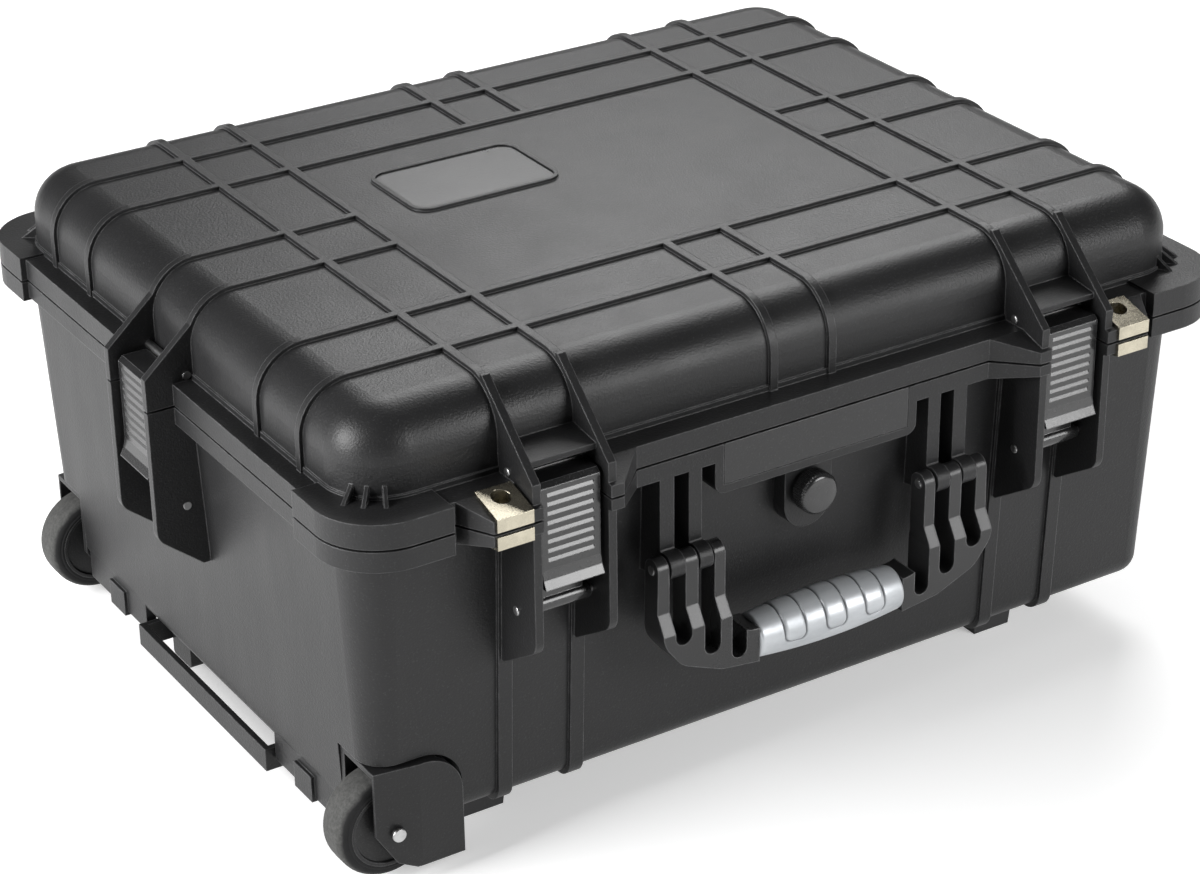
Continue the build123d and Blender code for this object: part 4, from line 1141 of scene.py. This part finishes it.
@dataclass
class Lining:
    """Foam lining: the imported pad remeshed, then dented, crowned and rounded."""

    node: str
    body: str
    name: str
    dent: float
    pitch: float
    face: int
    voxel: float = 0.0036
    smoothing: int = 3
    border: float = 16.0
    border_drop: float = 2.0
    fill: float = 0.9

    def build(self, finishes: Finishes) -> None:
        """Copy, remesh and shape the pad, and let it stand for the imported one.

        Args:
            finishes: The case's finishes.
        """
        pad = bpy.data.objects.new("rough_" + self.name, frame["nodes"][self.node].data.copy())
        bpy.context.collection.objects.link(pad)
        remesh = pad.modifiers.new("remesh", "REMESH")
        remesh.mode = "VOXEL"
        remesh.voxel_size = self.voxel
        smooth = pad.modifiers.new("smooth", "SMOOTH")
        smooth.iterations = self.smoothing
        done = pad.evaluated_get(bpy.context.evaluated_depsgraph_get())
        mesh = bpy.data.meshes.new_from_object(done)
        bpy.data.objects.remove(pad)
        self.shape(mesh)
        mesh.materials.clear()
        mesh.materials.append(finishes.for_slot("foam"))
        mesh.polygons.foreach_set("use_smooth", np.ones(len(mesh.polygons), bool))
        piece = bpy.data.objects.new(self.name, mesh)
        bpy.context.collection.objects.link(piece)
        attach(piece, self.body)
        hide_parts(self.node)
        LOG.info("built %s with %d faces", self.name, len(mesh.polygons))

    def shape(self, mesh: bpy.types.Mesh) -> None:
        """Dent the open face and pull its edges in.

        A point's share s runs from 0 at the back to 1 at the open face. It
        moves back by s * (dent * (1 - (1 + cos ax)(1 + cos ay) / 4) * b +
        drop * (1 - b)^2), where a is 2 pi / pitch and b is its distance from
        the outline over the border width, at most 1.

        Args:
            mesh: Remeshed pad, in metres.
        """
        spots = np.empty(3 * len(mesh.vertices))
        mesh.vertices.foreach_get("co", spots)
        spots = spots.reshape(-1, 3) / MM
        low, high = spots.min(0), spots.max(0)
        depth = high[2] - low[2]
        back = low[2] if self.face > 0 else high[2]
        share = np.clip(np.abs(spots[:, 2] - back) / depth, 0, 1)
        edge = np.minimum(spots[:, :2] - low[:2], high[:2] - spots[:, :2]).min(1)
        inside = np.clip(edge / self.border, 0, 1)
        wave = 2 * pi / self.pitch
        egg = 1 - (1 + np.cos(wave * spots[:, 0])) * (1 + np.cos(wave * spots[:, 1])) / 4
        move = share * (self.dent * egg * inside + (1 - inside) ** 2 * self.border_drop)
        spots[:, 2] -= self.face * move
        mesh.vertices.foreach_set("co", (spots * MM).ravel())
        mesh.update()


class CarriedOver:
    """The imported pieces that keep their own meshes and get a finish."""

    def dress(self, finishes: Finishes) -> None:
        """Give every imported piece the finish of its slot.

        Args:
            finishes: The case's finishes.
        """
        for row in frame["record"]["subparts"]:
            piece = frame["nodes"][row["node"]]
            material = finishes.for_slot(row["material_slot"])
            for spot in piece.material_slots:
                spot.material = material
            if not piece.material_slots:
                piece.data.materials.append(material)
            LOG.info("carried over %s", row["node"])


# Studio
@dataclass(frozen=True)
class Lamp:
    """One square soft lamp."""

    name: str
    place: Place
    target: Place
    size: float
    power: float

    def hang(self) -> None:
        """Put the lamp in the scene, facing its target."""
        light = bpy.data.lights.new(self.name, "AREA")
        light.size = self.size
        light.energy = self.power
        lamp = bpy.data.objects.new(self.name, light)
        lamp.location = self.place
        aim = Vector(self.target) - Vector(self.place)
        lamp.rotation_euler = aim.to_track_quat("-Z", "Y").to_euler()
        bpy.context.collection.objects.link(lamp)


@dataclass
class Studio:
    """Floor, lamps, world and the camera of the photograph."""

    floor_half: float = 25.0
    camera_place: Place = (-0.8436, -1.3526, 0.9242)
    azimuth: float = -32.04
    elevation: float = 27.23
    roll: float = -0.72
    lens: float = 95.43
    clip_end: float = 80.0
    world_strength: float = 0.1
    lamps: tuple[Lamp, ...] = (
        Lamp("top_box", (0.95, 1.15, 1.6), (0, 0, 0.2), 1.2, 29.0),
        Lamp("front_box", (0.9, -1.8, 0.8), (0, 0, 0.15), 0.9, 24.0),
        Lamp("end_box", (-2.2, 0.15, 1.0), (-0.1, 0, 0.12), 1.3, 88.0),
    )

    def build(self) -> None:
        """Lay the floor, hang the lamps, light the world and set the camera."""
        self.floor()
        for lamp in self.lamps:
            lamp.hang()
        self.world()
        self.camera()
        bpy.context.scene.view_settings.view_transform = "Standard"

    def floor(self) -> None:
        """Flat square sheet at height 0."""
        half = self.floor_half
        corners = [(-half, -half, 0), (half, -half, 0), (half, half, 0), (-half, half, 0)]
        mesh = bpy.data.meshes.new("floor")
        mesh.from_pydata(corners, [], [(0, 1, 2, 3)])
        mesh.materials.append(PaleFloor().build())
        sheet = bpy.data.objects.new("floor", mesh)
        bpy.context.collection.objects.link(sheet)

    def world(self) -> None:
        """Even, dim white surround."""
        world = bpy.data.worlds.new("surround")
        world.use_nodes = True
        back = world.node_tree.nodes["Background"]
        back.inputs["Color"].default_value = (*WHITE, 1.0)
        back.inputs["Strength"].default_value = self.world_strength
        bpy.context.scene.world = world

    def camera(self) -> None:
        """Camera whose back, right and up axes follow from azimuth, elevation and roll."""
        a, e, r = (radians(v) for v in (self.azimuth, self.elevation, self.roll))
        back = Vector((sin(a) * cos(e), -cos(a) * cos(e), sin(e)))
        right = Vector((cos(a), sin(a), 0.0))
        up = back.cross(right)
        turned = (cos(r) * right + sin(r) * up, -sin(r) * right + cos(r) * up, back)
        data = bpy.data.cameras.new("camera")
        data.lens = self.lens
        data.clip_end = self.clip_end
        camera = bpy.data.objects.new("camera", data)
        basis = Matrix(turned).transposed().to_4x4()
        camera.matrix_world = Matrix.Translation(self.camera_place) @ basis
        bpy.context.collection.objects.link(camera)
        bpy.context.scene.camera = camera


def main() -> None:
    """Build the classes in order."""
    logging.basicConfig(level=logging.INFO)
    finishes = Finishes()
    CarriedOver().dress(finishes)
    CarryGrip().build(finishes)
    for end in ("front", "rear"):
        Wheel(end).build(finishes)
    PinHeads().build(finishes)
    ValveKnob().build(finishes)
    Lining("lid_foam", "lid", "lid_lining", dent=6.0, pitch=20.0, face=-1).build(finishes)
    Lining("base_foam", "base", "base_lining", dent=1.2, pitch=45.0, face=1).build(finishes)
    Studio().build()


if __name__ == "__main__":
    main()
